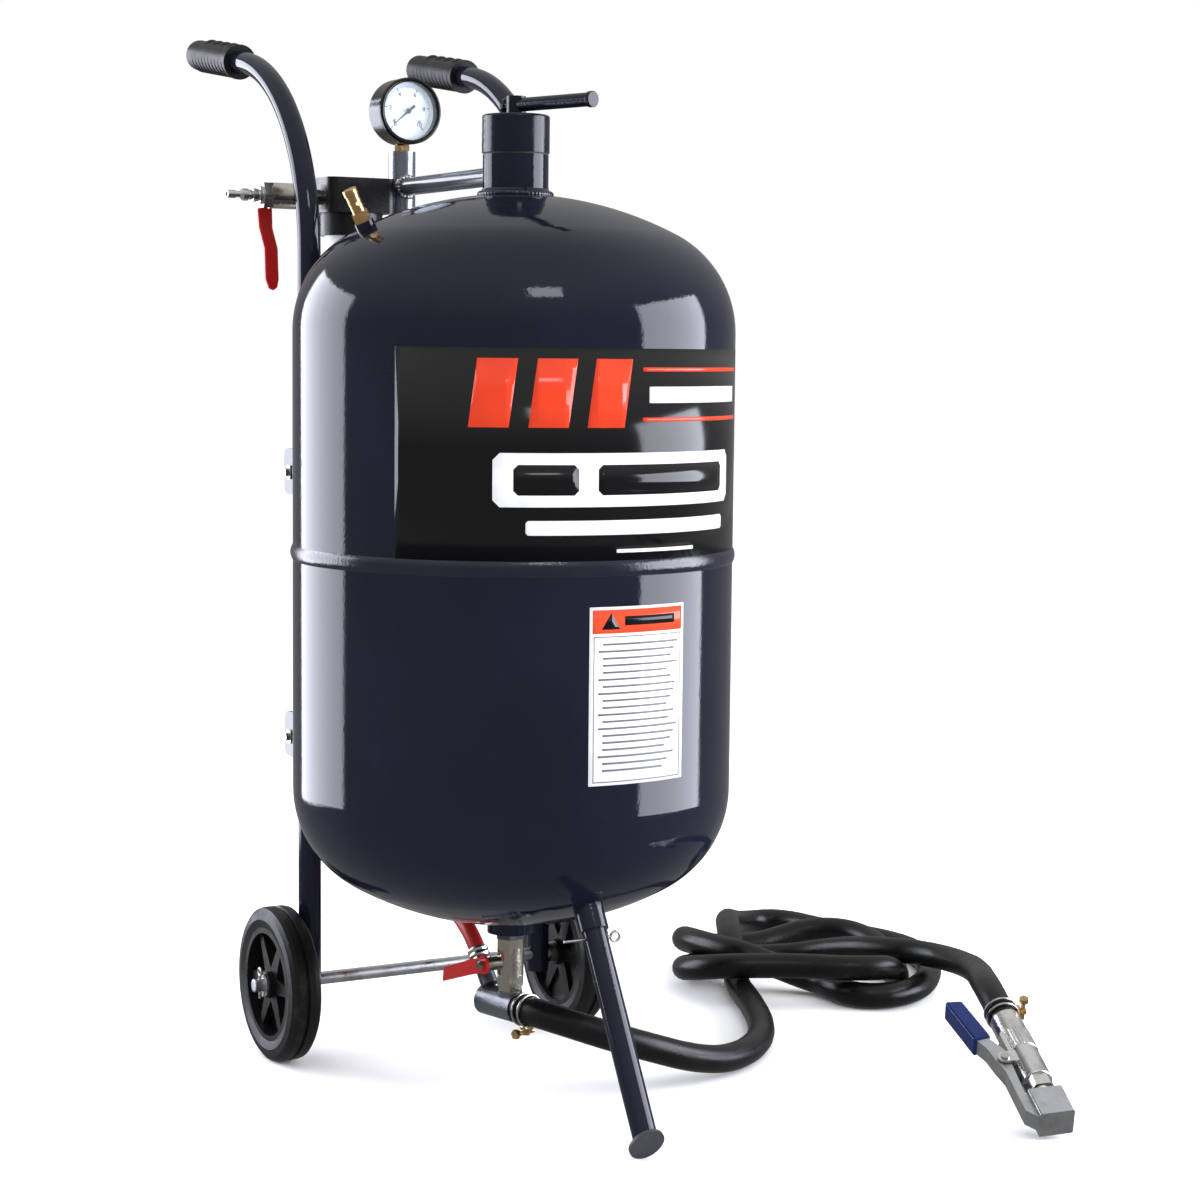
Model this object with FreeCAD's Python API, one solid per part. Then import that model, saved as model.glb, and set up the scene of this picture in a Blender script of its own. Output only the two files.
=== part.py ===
"""Portable pressure-pot abrasive blaster: a 20 US gallon tank on two wheels and a front leg.

Millimetres, +Z up, front towards -Y.  Everything is modelled about the tank's own vertical
axis with the floor at z = 0, and each piece is moved by TANK_Y when it is written, so that
the origin lies under the middle of the machine's box.
"""
import FreeCAD, Part
import math
import os

V = FreeCAD.Vector
X = V(1, 0, 0)
Y = V(0, 1, 0)
Z = V(0, 0, 1)

# ---- driving dimensions ------------------------------------------------------------
TANK_Y = -108.9            # tank axis in the part's frame

TANK_R = 203.0             # 16 inch shell
WALL = 3.0
CYL_BOTTOM = 288.0         # where the straight shell meets the lower head
CYL_TOP = 708.0
SEAM_Z = 506.0             # girth weld between the two half shells
CROWN_TOP = 325.0          # crown radius of the upper head
CROWN_BOTTOM = 310.0
KNUCKLE = 101.0

NECK_R = 30.15             # 2 inch pipe
NECK_BORE = 26.25
NECK_TOP = 869.0
GASKET_T = 1.5
CAP_TOP = 905.0
CAP_R = 31.0
SPIGOT_LEN = 24.0
BAR_R = 6.25
BAR_Z = 914.0
BAR_DIR = V(0.31, -0.951, 0).normalize()
BOSS_R = 9.0
BAR_REACH = 92.0

TUBE_X = 126.0             # handle tubes
TUBE_Y = 186.0
TUBE_R = 11.0
TUBE_BORE = 9.0
TUBE_BOTTOM = 58.0
HANDLE_BEND_Z = 783.0
HANDLE_BEND_R = 195.0
HANDLE_TURN = math.radians(81.4)
HANDLE_STRAIGHT = 131.0
GRIP_LEN = 115.0
GRIP_R = 15.5

BRACKET_Z = (573.0, 317.0)
BRACKET_H = 44.0
BRACKET_PLATE = 3.0
BRACKET_BACK = 216.0
BOLT_R = 4.0
BOLT_AF = 13.0

AXLE_Z = 75.0
AXLE_R = 6.35
AXLE_END = 185.0
WHEEL_R = 75.0
WHEEL_IN = 143.0
WHEEL_OUT = 173.0
RIM_R = 55.0
SPOKES = 6

LEG_TOP = V(0, -155, 194)
LEG_FOOT = V(0, -261, 14)
LEG_DIR = (LEG_FOOT - LEG_TOP).normalize()
LEG_R = 11.0
LEG_BORE = 9.0
PIN_AT = 22.0              # hairpin, measured down the leg from LEG_TOP
FOOT_R = 16.5
FOOT_T = 3.0
FOOT_NORMAL = V(0, -0.866, -0.5)

VALVE_Z = 119.0            # media valve ball centre
BALL_R = 9.0
PORT_R = 6.5
STEM_R = 3.0
LEVER_AT = 26.4            # lever blade's distance from the ball's centre, along the stem
FIT = 0.05                 # radial clearance of every running fit
TEE_Z = 77.0
TEE_R = 14.5
TEE_BACK = 40.0
TEE_AIR_PORT = 18.0        # length of the air inlet's boss
MEDIA_LEVER_DROOP = math.radians(18)
MEDIA_LEVER_LEN = 90.0

MANIFOLD_Y = 250.0
MANIFOLD_R = 13.35
MANIFOLD_BORE = 10.5
MANIFOLD_BOTTOM = 700.0
MANIFOLD_TOP = 887.0
CROSSOVER_Z = 852.0
CROSSOVER_R = 8.75
INLET_Z = 839.0
FILTER_X = -55.0
INLET_BALL_X = -134.0

GAUGE_Z = 926.0
GAUGE_R = 32.5
GAUGE_FRONT = 229.0
GAUGE_BACK = 259.0
POINTER_ANGLE = math.radians(220)

RELIEF_X = -148.0
RELIEF_LEAN = math.radians(27)

HOSE_R = 13.5              # blast hose, 27 mm outside and 13 mm inside
HOSE_BORE = 6.5
HOSE_ROUTE = [
    (3, -12, 77), (11, -44, 77), (33, -69, 70), (66, -84, 58), (106, -88, 44), (150, -82, 28),
    (195, -68, 17), (238, -43, 14), (275, -8, 14), (304, 36, 14), (328, 85, 14), (349, 135, 14),
    (368, 184, 14), (392, 230, 14), (408, 260, 31), (422, 290, 43), (442, 326, 43),
    (461, 360, 42), (487, 396, 33), (515, 429, 21), (546, 450, 14), (577, 448, 14),
    (595, 422, 14), (602, 387, 14), (612, 353, 14), (626, 320, 14), (638, 283, 14),
    (638, 241, 14), (624, 198, 14), (601, 158, 14), (573, 123, 14), (544, 96, 14),
    (512, 80, 14), (481, 79, 14), (459, 96, 14), (454, 126, 14), (457, 157, 14),
    (445, 182, 18), (418, 198, 30), (389, 214, 43), (375, 247, 44), (372, 287, 43),
    (382, 326, 37), (404, 355, 25), (434, 363, 15), (462, 353, 14), (490, 344, 14),
    (519, 342, 19), (550, 337, 26), (575, 321, 29), (593, 297, 28), (598, 265, 24),
    (593, 231, 18), (578, 195, 14), (560, 164, 14), (541, 136, 15), (522, 112, 27),
    (502, 95, 39), (478, 92, 42), (452, 104, 42), (429, 123, 42), (404, 141, 42),
    (379, 153, 42), (355, 165, 42), (335, 183, 39), (327, 210, 33), (333, 240, 26),
    (352, 269, 18), (381, 290, 14), (413, 300, 14), (444, 298, 14), (474, 288, 14),
    (498, 270, 17), (514, 244, 25), (523, 214, 33), (531, 180, 40), (542, 151, 43),
    (558, 125, 44), (565, 97, 45), (561, 62, 48), (548, 23, 53), (527, -17, 60),
    (503, -57, 67), (477, -96, 75), (450, -135, 82), (424, -174, 89), (402, -212, 90),
    (391, -248, 74),
]

AIR_HOSE_R = 8.0
AIR_HOSE_BORE = 5.0
AIR_ROUTE = [
    (0, 250, 690), (0, 250, 590), (0, 252, 440), (-1, 247, 310), (-5, 221, 216),
    (-9, 160, 169), (-11, 103, 154), (-11, 60, 134), (-9, 38, 106),
]

TEE_DIR = (V(*HOSE_ROUTE[1]) - V(*HOSE_ROUTE[0])).normalize()
TEE_FRONT = (V(*HOSE_ROUTE[0]) - V(0, 0, TEE_Z)).Length
NOZZLE_AT = V(*HOSE_ROUTE[-1])
NOZZLE_DIR = (NOZZLE_AT - V(*HOSE_ROUTE[-2])).normalize()
NOZZLE_SIDE = V(-0.942, 0.324, -0.088)
HOLDER_LEN = 92.0
HOLDER_R = 14.5
LEVER_PIVOT = (62.0, 21.0)
LEVER_HALF_W = 8.0


# ---- shape helpers -----------------------------------------------------------------
def box(x0, x1, y0, y1, z0, z1):
    return Part.makeBox(x1 - x0, y1 - y0, z1 - z0, V(x0, y0, z0))


def rod(start, direction, radius, length):
    return Part.makeCylinder(radius, length, start, direction)


def pipe(start, direction, outer, bore, length):
    return rod(start, direction, outer, length).cut(rod(start, direction, bore, length))


def frame_at(origin, z_axis, x_hint=None):
    """Placement that turns local Z onto z_axis and keeps local X near x_hint."""
    z_axis = V(z_axis).normalize()
    hint = V(x_hint) if x_hint else (X if abs(z_axis.x) < 0.9 else Y)
    y_axis = z_axis.cross(hint).normalize()
    x_axis = y_axis.cross(z_axis)
    return FreeCAD.Placement(FreeCAD.Matrix(
        x_axis.x, y_axis.x, z_axis.x, origin.x,
        x_axis.y, y_axis.y, z_axis.y, origin.y,
        x_axis.z, y_axis.z, z_axis.z, origin.z,
        0, 0, 0, 1))


def put(shape, placement):
    moved = shape.copy()
    moved.Placement = placement.multiply(moved.Placement)
    return moved


def hexagon(start, direction, across_flats, length):
    corner = across_flats / math.sqrt(3)
    points = [V(corner * math.cos(math.radians(60 * k)), corner * math.sin(math.radians(60 * k)), 0)
              for k in range(7)]
    prism = Part.Face(Part.makePolygon(points)).extrude(V(0, 0, length))
    return put(prism, frame_at(start, direction))


def lathe(points):
    """Closed (radius, height) outline turned about Z."""
    outline = [V(r, 0, z) for r, z in points]
    face = Part.Face(Part.makePolygon(outline + [outline[0]]))
    return face.revolve(V(0, 0, 0), Z, 360)


def plate(points, half_width):
    """Outline in local XY, extruded both ways along local Z."""
    outline = [V(x, y, -half_width) for x, y in points]
    face = Part.Face(Part.makePolygon(outline + [outline[0]]))
    return face.extrude(V(0, 0, 2 * half_width))


def rounded(shape, radius, wanted):
    """Fillet the edges for which wanted(edge) is true."""
    edges = [edge for edge in shape.Edges if wanted(edge)]
    return shape.makeFillet(radius, edges)


def runs_along(edge, direction):
    if len(edge.Vertexes) != 2:
        return False
    span = edge.Vertexes[1].Point - edge.Vertexes[0].Point
    return span.Length > 0 and abs(span.normalize().dot(direction)) > 0.999


def route_wire(route):
    """Straight runs joined by tangent arcs; returns the wire and the arc radii."""
    points = [V(*point) for point in route]
    edges = []
    radii = []
    here = points[0]
    for before, corner, after in zip(points, points[1:], points[2:]):
        back = before - corner
        ahead = after - corner
        trim = 0.45 * min(back.Length, ahead.Length)
        back = V(back).normalize()
        ahead = V(ahead).normalize()
        half_turn = (math.pi - back.getAngle(ahead)) / 2
        radius = trim / math.tan(half_turn)
        start = corner + back * trim
        end = corner + ahead * trim
        inward = (back + ahead).normalize()
        middle = corner + inward * (radius / math.cos(half_turn) - radius)
        edges.append(Part.LineSegment(here, start).toShape())
        edges.append(Part.Arc(start, middle, end).toShape())
        radii.append(radius)
        here = end
    edges.append(Part.LineSegment(here, points[-1]).toShape())
    return Part.Wire(edges), radii


def swept_tube(wire, start, heading, outer, bore):
    """Tube of constant section along a wire of straight runs and tangent arcs."""
    solids = []
    for radius in (outer, bore):
        disc = Part.Face(Part.Wire(Part.makeCircle(radius, start, heading)))
        solids.append(wire.makePipe(disc))
    return solids[0].cut(solids[1])


def hose(route, outer, bore, name):
    wire, radii = route_wire(route)
    start = V(*route[0])
    tube = swept_tube(wire, start, V(*route[1]) - start, outer, bore)
    expected = math.pi * (outer ** 2 - bore ** 2) * wire.Length
    print(f"{name}: length {wire.Length:.0f} mm, radii {min(radii):.0f} to {max(radii):.0f} mm,",
          f"volume over section x length {tube.Volume / expected:.4f}")
    print("  radii", [round(radius) for radius in radii])
    return tube


# ---- pressure vessel ---------------------------------------------------------------
def head_edges(shell_r, crown, knuckle, z_cyl, up):
    """Edges of a torispherical head from its apex to the straight shell."""
    drop = math.sqrt((crown - knuckle) ** 2 - (shell_r - knuckle) ** 2)
    centre_z = z_cyl - up * drop
    meet = math.asin((shell_r - knuckle) / (crown - knuckle))

    def crown_point(angle):
        return V(crown * math.sin(angle), 0, centre_z + up * crown * math.cos(angle))

    def knuckle_point(angle):
        return V(shell_r - knuckle + knuckle * math.sin(angle), 0,
                 z_cyl + up * knuckle * math.cos(angle))

    crown_arc = Part.Arc(crown_point(0), crown_point(meet / 2), crown_point(meet))
    middle = (meet + math.pi / 2) / 2
    knuckle_arc = Part.Arc(knuckle_point(meet), knuckle_point(middle), knuckle_point(math.pi / 2))
    return [crown_arc.toShape(), knuckle_arc.toShape()]


def half_shell(crown, z_cyl, up, wall):
    """One half of the vessel; wall None gives it solid."""
    outer = head_edges(TANK_R, crown, KNUCKLE, z_cyl, up)
    apex = outer[0].Vertexes[0].Point
    edges = outer + [Part.LineSegment(V(TANK_R, 0, z_cyl), V(TANK_R, 0, SEAM_Z)).toShape()]
    if wall is None:
        edges.append(Part.LineSegment(V(TANK_R, 0, SEAM_Z), V(0, 0, SEAM_Z)).toShape())
        edges.append(Part.LineSegment(V(0, 0, SEAM_Z), apex).toShape())
    else:
        inner_r = TANK_R - wall
        inner = head_edges(inner_r, crown - wall, KNUCKLE - wall, z_cyl, up)
        inner_apex = inner[0].Vertexes[0].Point
        edges.append(Part.LineSegment(V(TANK_R, 0, SEAM_Z), V(inner_r, 0, SEAM_Z)).toShape())
        edges.append(Part.LineSegment(V(inner_r, 0, SEAM_Z), V(inner_r, 0, z_cyl)).toShape())
        edges += inner
        edges.append(Part.LineSegment(inner_apex, apex).toShape())
    outline = Part.Wire(Part.__sortEdges__(edges))
    return Part.Face(outline).revolve(V(0, 0, 0), Z, 360)


def tank_outside():
    upper = half_shell(CROWN_TOP, CYL_TOP, 1, None)
    return upper.fuse(half_shell(CROWN_BOTTOM, CYL_BOTTOM, -1, None))


def relief_axis():
    """Point on the upper head and its outward normal at the relief valve."""
    normal = V(-math.sin(RELIEF_LEAN), 0, math.cos(RELIEF_LEAN))
    drop = math.sqrt((CROWN_TOP - KNUCKLE) ** 2 - (TANK_R - KNUCKLE) ** 2)
    height = CYL_TOP - drop + math.sqrt(CROWN_TOP ** 2 - RELIEF_X ** 2)
    return V(RELIEF_X, 0, height), normal


def tank_upper_shell():
    at, normal = relief_axis()
    shell = half_shell(CROWN_TOP, CYL_TOP, 1, WALL)
    shell = shell.cut(rod(V(0, 0, 800), Z, NECK_R, 60))
    return shell.cut(rod(at - normal * 20, normal, 9, 40))


def tank_lower_shell():
    shell = half_shell(CROWN_BOTTOM, CYL_BOTTOM, -1, WALL)
    return shell.cut(rod(V(0, 0, 140), Z, 10, 40))


def girth_weld():
    half = 7.0
    proud = 2.2
    arc = Part.Arc(V(TANK_R, 0, SEAM_Z - half), V(TANK_R + proud, 0, SEAM_Z),
                   V(TANK_R, 0, SEAM_Z + half)).toShape()
    back = Part.LineSegment(V(TANK_R, 0, SEAM_Z + half), V(TANK_R, 0, SEAM_Z - half)).toShape()
    return Part.Face(Part.Wire([arc, back])).revolve(V(0, 0, 0), Z, 360)


# ---- filler neck and cap -----------------------------------------------------------
def filler_neck():
    neck = pipe(V(0, 0, 826), Z, NECK_R, NECK_BORE, NECK_TOP - 826)
    bead = lathe([(NECK_R - 0.2, 832.4), (NECK_R + 4.6, 831.9), (NECK_R + 2.2, 835.6),
                  (NECK_R - 0.2, 838.5)])
    return neck.fuse(bead).removeSplitter()


def cap_gasket():
    return pipe(V(0, 0, NECK_TOP), Z, CAP_R - 1.4, NECK_BORE + 0.2, GASKET_T)


def filler_cap():
    base = NECK_TOP + GASKET_T
    body = rounded(rod(V(0, 0, base), Z, CAP_R, CAP_TOP - base), 2.5,
                   lambda edge: edge.BoundBox.ZMin > CAP_TOP - 0.1)
    boss = rod(V(0, 0, CAP_TOP - 1), Z, BOSS_R, 18)
    cap = body.fuse(boss)
    cap = cap.cut(rod(V(0, 0, BAR_Z) - BAR_DIR * 20, BAR_DIR, BAR_R + FIT, 40))
    spigot_r = NECK_BORE - FIT
    pitch = 2.309
    low = NECK_TOP - SPIGOT_LEN
    outline = [(0, low), (spigot_r - 1.5, low)]
    for turn in range(10):
        foot = low + pitch * turn
        outline += [(spigot_r - 1.2, foot + 0.1), (spigot_r, foot + pitch / 2)]
    outline += [(spigot_r - 1.2, NECK_TOP), (spigot_r - 1.2, base + 1), (0, base + 1)]
    return cap.fuse(lathe(outline)).removeSplitter()


def tommy_bar():
    centre = V(0, 0, BAR_Z)
    ring = 5.0
    stop = BOSS_R + 0.3
    bar = rod(centre - BAR_DIR * stop, BAR_DIR, BAR_R, stop + BAR_REACH)
    for start in (centre - BAR_DIR * (stop + ring), centre + BAR_DIR * BAR_REACH):
        end_ring = rod(start, BAR_DIR, BAR_R + 1, ring)
        end_ring = rounded(end_ring, 0.8, lambda edge: edge.Closed)
        bar = bar.fuse(end_ring)
    return bar.removeSplitter()


# ---- handles -----------------------------------------------------------------------
def handle_end():
    """End of the handle's bend in the YZ plane, and the grip's heading there."""
    bend_y = TUBE_Y + HANDLE_BEND_R * (1 - math.cos(HANDLE_TURN))
    bend_z = HANDLE_BEND_Z + HANDLE_BEND_R * math.sin(HANDLE_TURN)
    return V(0, bend_y, bend_z), V(0, math.sin(HANDLE_TURN), math.cos(HANDLE_TURN))


def handle_tube(side):
    bend_end, heading = handle_end()
    middle = HANDLE_TURN / 2
    across = X * (side * TUBE_X)
    low = V(0, TUBE_Y, TUBE_BOTTOM) + across
    bend_start = V(0, TUBE_Y, HANDLE_BEND_Z) + across
    bend_middle = V(0, TUBE_Y + HANDLE_BEND_R * (1 - math.cos(middle)),
                    HANDLE_BEND_Z + HANDLE_BEND_R * math.sin(middle)) + across
    bend_end = bend_end + across
    path = Part.Wire([Part.LineSegment(low, bend_start).toShape(),
                      Part.Arc(bend_start, bend_middle, bend_end).toShape(),
                      Part.LineSegment(bend_end, bend_end + heading * HANDLE_STRAIGHT).toShape()])
    tube = swept_tube(path, low, Z, TUBE_R, TUBE_BORE)
    for z in BRACKET_Z:
        tube = tube.cut(rod(V(side * TUBE_X - 20, TUBE_Y, z), X, BOLT_R, 40))
    return tube.cut(rod(V(side * TUBE_X - 20, TUBE_Y, AXLE_Z), X, AXLE_R, 40))


def grip(side):
    bend_end, heading = handle_end()
    tip = bend_end + heading * HANDLE_STRAIGHT + X * (side * TUBE_X)
    start = tip - heading * GRIP_LEN
    down = heading.cross(X) * -1
    sleeve = rounded(rod(start, heading, GRIP_R, GRIP_LEN + 4), 4,
                     lambda edge: edge.Closed and (edge.CenterOfMass - tip).Length < 6)
    sleeve = sleeve.fuse(rod(start, heading, GRIP_R + 2, 4))
    for finger in range(4):
        centre = start + heading * (18 + 21 * finger) + down * 8
        sleeve = sleeve.fuse(Part.makeSphere(10, centre))
    return sleeve.cut(rod(start - heading, heading, TUBE_R, GRIP_LEN + 1)).removeSplitter()


def tube_brackets():
    """Four channels welded to the shell, open to the back around the handle tubes."""
    pieces = []
    shell = rod(V(0, 0, 200), Z, TANK_R, 500)
    for z in BRACKET_Z:
        for side in (-1, 1):
            inner = TUBE_X - TUBE_R
            outer = TUBE_X + TUBE_R
            web = TUBE_Y - TUBE_R
            block = box(inner - BRACKET_PLATE, outer + BRACKET_PLATE, 140, BRACKET_BACK,
                        z - BRACKET_H / 2, z + BRACKET_H / 2)
            block = rounded(block, 9, lambda edge: runs_along(edge, X)
                            and edge.BoundBox.YMin > BRACKET_BACK - 1)
            block = block.cut(box(inner, outer, web, BRACKET_BACK + 1, 0, 800))
            block = block.cut(box(inner, outer, 130, web - BRACKET_PLATE, 0, 800))
            block = block.cut(rod(V(100, TUBE_Y, z), X, BOLT_R, 60))
            if side < 0:
                block = block.mirror(V(0, 0, 0), X)
            pieces.append(block.cut(shell))
    return Part.makeCompound(pieces)


def bracket_bolts():
    head_at = TUBE_X - TUBE_R - BRACKET_PLATE
    bolts = []
    for z in BRACKET_Z:
        for side in (-1, 1):
            out = X * side
            seat = V(side * head_at, TUBE_Y, z)
            bolt = rod(seat, out, BOLT_R, 40).fuse(hexagon(seat, out * -1, BOLT_AF, 5.3))
            bolts.append(bolt.removeSplitter())
    return Part.makeCompound(bolts)


def bracket_nuts():
    seat_x = TUBE_X + TUBE_R + BRACKET_PLATE
    nuts = []
    for z in BRACKET_Z:
        for side in (-1, 1):
            out = X * side
            seat = V(side * seat_x, TUBE_Y, z)
            nut = rod(seat, out, 8, 1.6).fuse(hexagon(seat + out * 1.6, out, BOLT_AF, 6.5))
            nuts.append(nut.cut(rod(seat, out, BOLT_R, 20)).removeSplitter())
    return Part.makeCompound(nuts)


# ---- axle and wheels ---------------------------------------------------------------
COTTER_X = 178.0
COTTER_R = 1.6


def axle():
    bar = rod(V(-AXLE_END, TUBE_Y, AXLE_Z), X, AXLE_R, 2 * AXLE_END)
    bar = rounded(bar, 1, lambda edge: edge.Closed)
    for side in (-1, 1):
        bar = bar.cut(rod(V(side * COTTER_X, TUBE_Y, AXLE_Z - 10), Z, COTTER_R, 20))
    return bar


def axle_washers():
    """A spacer between each tube and wheel, and a washer outside each wheel."""
    rings = []
    for side in (-1, 1):
        out = X * side
        tube_face = V(side * (TUBE_X + TUBE_R), TUBE_Y, AXLE_Z)
        rings.append(pipe(tube_face, out, 10, AXLE_R, WHEEL_IN - TUBE_X - TUBE_R - 0.3))
        outside = V(side * (WHEEL_OUT + 0.3), TUBE_Y, AXLE_Z)
        rings.append(pipe(outside, out, 12, AXLE_R, 2))
    return Part.makeCompound(rings)


def cotter_pins():
    pins = []
    for side in (-1, 1):
        foot = V(side * COTTER_X, TUBE_Y, AXLE_Z - 13)
        pin = rod(foot, Z, COTTER_R, 23)
        eye = Part.makeTorus(3.4, 1.2, V(side * COTTER_X, TUBE_Y, AXLE_Z + 13), X)
        pins.append(pin.fuse(eye).removeSplitter())
    return Part.makeCompound(pins)


def wheel_placement(side):
    """Local Z runs outwards along the axle from the wheel's inner face."""
    return frame_at(V(side * WHEEL_IN, TUBE_Y, AXLE_Z), X * side, Z)


def wheel(side):
    width = WHEEL_OUT - WHEEL_IN
    hub = pipe(V(0, 0, 0), Z, 13.5, AXLE_R + FIT, width)
    rim = lathe([(RIM_R - 5, 1), (RIM_R, 1), (RIM_R, width - 1), (RIM_R - 5, width - 1)])
    web = pipe(V(0, 0, 10), Z, RIM_R - 4, 13, 4)
    body = hub.fuse(rim).fuse(web)
    for spoke in range(SPOKES):
        wedge = plate([(12.5, -8), (RIM_R - 4, -3.5), (RIM_R - 4, 3.5), (12.5, 8)], 9)
        wedge.translate(V(0, 0, 15))
        wedge.rotate(V(0, 0, 0), Z, 360 / SPOKES * spoke + 90)
        body = body.fuse(wedge)
    body = body.cut(rod(V(0, 0, -1), Z, AXLE_R + FIT, width + 2))
    return put(body.removeSplitter(), wheel_placement(side))


def tyre(side):
    width = WHEEL_OUT - WHEEL_IN
    half = width / 2
    ring = lathe([(RIM_R, 1), (63, -1), (70, 0), (74, 3), (WHEEL_R, 7), (WHEEL_R, half - 2),
                  (WHEEL_R - 2.5, half - 1), (WHEEL_R - 2.5, half + 1), (WHEEL_R, half + 2),
                  (WHEEL_R, width - 7), (74, width - 3), (70, width), (63, width + 1),
                  (RIM_R, width - 1)])
    return put(ring, wheel_placement(side))


# ---- front leg ---------------------------------------------------------------------
def leg_socket(shell):
    """Collar and inner stub welded under the tank; the leg slides between them."""
    collar = pipe(LEG_TOP - LEG_DIR * 40, LEG_DIR, 13.5, LEG_R, 55)
    root = rod(LEG_TOP - LEG_DIR * 40, LEG_DIR, 13.5, 36)
    stub = rod(LEG_TOP - LEG_DIR * 40, LEG_DIR, LEG_BORE - 0.2, 78)
    socket = collar.fuse([root, stub]).cut(shell)
    socket = socket.cut(rod(LEG_TOP + LEG_DIR * PIN_AT - X * 20, X, 1.5, 40))
    return max(socket.removeSplitter().Solids, key=lambda solid: solid.Volume)


def foot_placement():
    """The disc leans forward and its lowest rim point is on the floor."""
    centre = V(0, LEG_FOOT.y, FOOT_R * abs(FOOT_NORMAL.y))
    return centre, V(FOOT_NORMAL).normalize()


def front_leg():
    centre, normal = foot_placement()
    top = LEG_TOP - LEG_DIR * 3.8
    leg = pipe(top, LEG_DIR, LEG_R, LEG_BORE, 260)
    beyond = rod(centre - normal * FOOT_T, normal, 80, 200)
    leg = leg.cut(beyond)
    return leg.cut(rod(LEG_TOP + LEG_DIR * PIN_AT - X * 20, X, 1.5, 40))


def leg_foot():
    centre, normal = foot_placement()
    disc = rod(centre, normal * -1, FOOT_R, FOOT_T)
    return rounded(disc, 0.6, lambda edge: edge.Closed and (edge.CenterOfMass - centre).Length > 1)


def leg_pin():
    """Hairpin: an eye on one side and two wire legs through the leg."""
    at = LEG_TOP + LEG_DIR * PIN_AT
    wire_r = 1.2
    pin = rod(at - X * 32, X, wire_r, 48)
    eye = Part.makeTorus(4.5, wire_r, at + X * 19.5, Y)
    return pin.fuse(eye).removeSplitter()


# ---- media outlet ------------------------------------------------------------------
def outlet_flange(shell):
    ring = pipe(V(0, 0, 148), Z, 22, 10, 20).cut(shell)
    return max(ring.Solids, key=lambda solid: solid.Volume)


def outlet_bushing():
    body = hexagon(V(0, 0, 142), Z, 25, 6).fuse(rod(V(0, 0, 147), Z, 10, 14))
    return body.cut(rod(V(0, 0, 140), Z, PORT_R, 30)).removeSplitter()


def valve_body(length_up, length_down):
    """Ball valve about local Z, its stem bore along local X; origin at the ball's centre."""
    body = rod(V(0, 0, -length_down + 8), Z, 12.5, length_up + length_down - 16)
    body = body.fuse(hexagon(V(0, 0, length_up - 12), Z, 24, 12))
    body = body.fuse(hexagon(V(0, 0, -length_down), Z, 24, 10))
    body = body.fuse(rod(V(8, 0, 0), X, 6.5, LEVER_AT - 8.6))
    body = body.cut(Part.makeSphere(BALL_R + FIT))
    body = body.cut(rod(V(0, 0, -60), Z, PORT_R, 120))
    return body.cut(rod(V(0, 0, 0), X, STEM_R + FIT, 40)).removeSplitter()


def valve_stem():
    """Closed ball, its stem along local X, and the hexagon nut that holds the lever."""
    ball = Part.makeSphere(BALL_R)
    ball = ball.fuse(rod(V(0, 0, 0), X, STEM_R, LEVER_AT + 8))
    ball = ball.fuse(hexagon(V(LEVER_AT + 2.9, 0, 0), X, 9, 4))
    return ball.cut(rod(V(0, -10, 0), Y, 5, 20)).removeSplitter()


def lever_blade(points, hub_r=9.0):
    """Lever plate in local YZ seen along local X, with a hub at the origin."""
    outline = [V(LEVER_AT, y, z) for y, z in points]
    blade = Part.Face(Part.makePolygon(outline + [outline[0]])).extrude(X * 2.5)
    blade = blade.fuse(rod(V(LEVER_AT, 0, 0), X, hub_r, 2.9))
    return blade.cut(rod(V(0, 0, 0), X, STEM_R, 60)).removeSplitter()


def media_placement():
    """The media valve's stem looks towards -X."""
    turn = FreeCAD.Rotation(Z, 180)
    return FreeCAD.Placement(V(0, 0, VALVE_Z), turn)


def media_lever():
    """Blade back along the tank's underside, drooping towards its end."""
    droop = math.tan(MEDIA_LEVER_DROOP)
    reach = MEDIA_LEVER_LEN * math.cos(MEDIA_LEVER_DROOP)
    points = [(-2, 7), (-30, 7 - 26 * droop), (-reach, 7 - reach * droop),
              (-reach - 2, -7 - reach * droop), (-30, -6 - 32 * droop), (2, -7)]
    return put(lever_blade(points), media_placement())


def tee_nipple():
    body = hexagon(V(0, 0, 92), Z, 21, 5.5).fuse(rod(V(0, 0, 86), Z, 9, 8))
    return body.cut(rod(V(0, 0, 80), Z, PORT_R, 30)).removeSplitter()


def mixing_tee():
    """Grey mixing body with a hose barb in front, the valve above and the air inlet behind."""
    centre = V(0, 0, TEE_Z)
    rear = centre - TEE_DIR * TEE_BACK
    barrel = rod(rear, TEE_DIR, TEE_R, TEE_BACK + TEE_FRONT)
    barrel = barrel.makeChamfer(4, [edge for edge in barrel.Edges if edge.Closed
                                    and (edge.CenterOfMass - rear).Length < 1])
    barrel = barrel.fuse(rod(centre, Z, 11.5, 15))
    air_end = V(*AIR_ROUTE[-1])
    air_dir = (air_end - V(*AIR_ROUTE[-2])).normalize()
    barrel = barrel.fuse(rod(air_end, air_dir, AIR_HOSE_R + 0.5, TEE_AIR_PORT))
    barrel = barrel.fuse(rod(centre, TEE_DIR, HOSE_BORE - 0.1, TEE_FRONT + 16))
    barrel = barrel.cut(rod(centre + Z * 9, Z, 9, 20))
    barrel = barrel.cut(rod(centre, Z, PORT_R, 30))
    barrel = barrel.cut(rod(centre - TEE_DIR * 24, TEE_DIR, 4.5, 80))
    return barrel.cut(rod(air_end - air_dir, air_dir, 4, TEE_AIR_PORT + 6)).removeSplitter()


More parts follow.
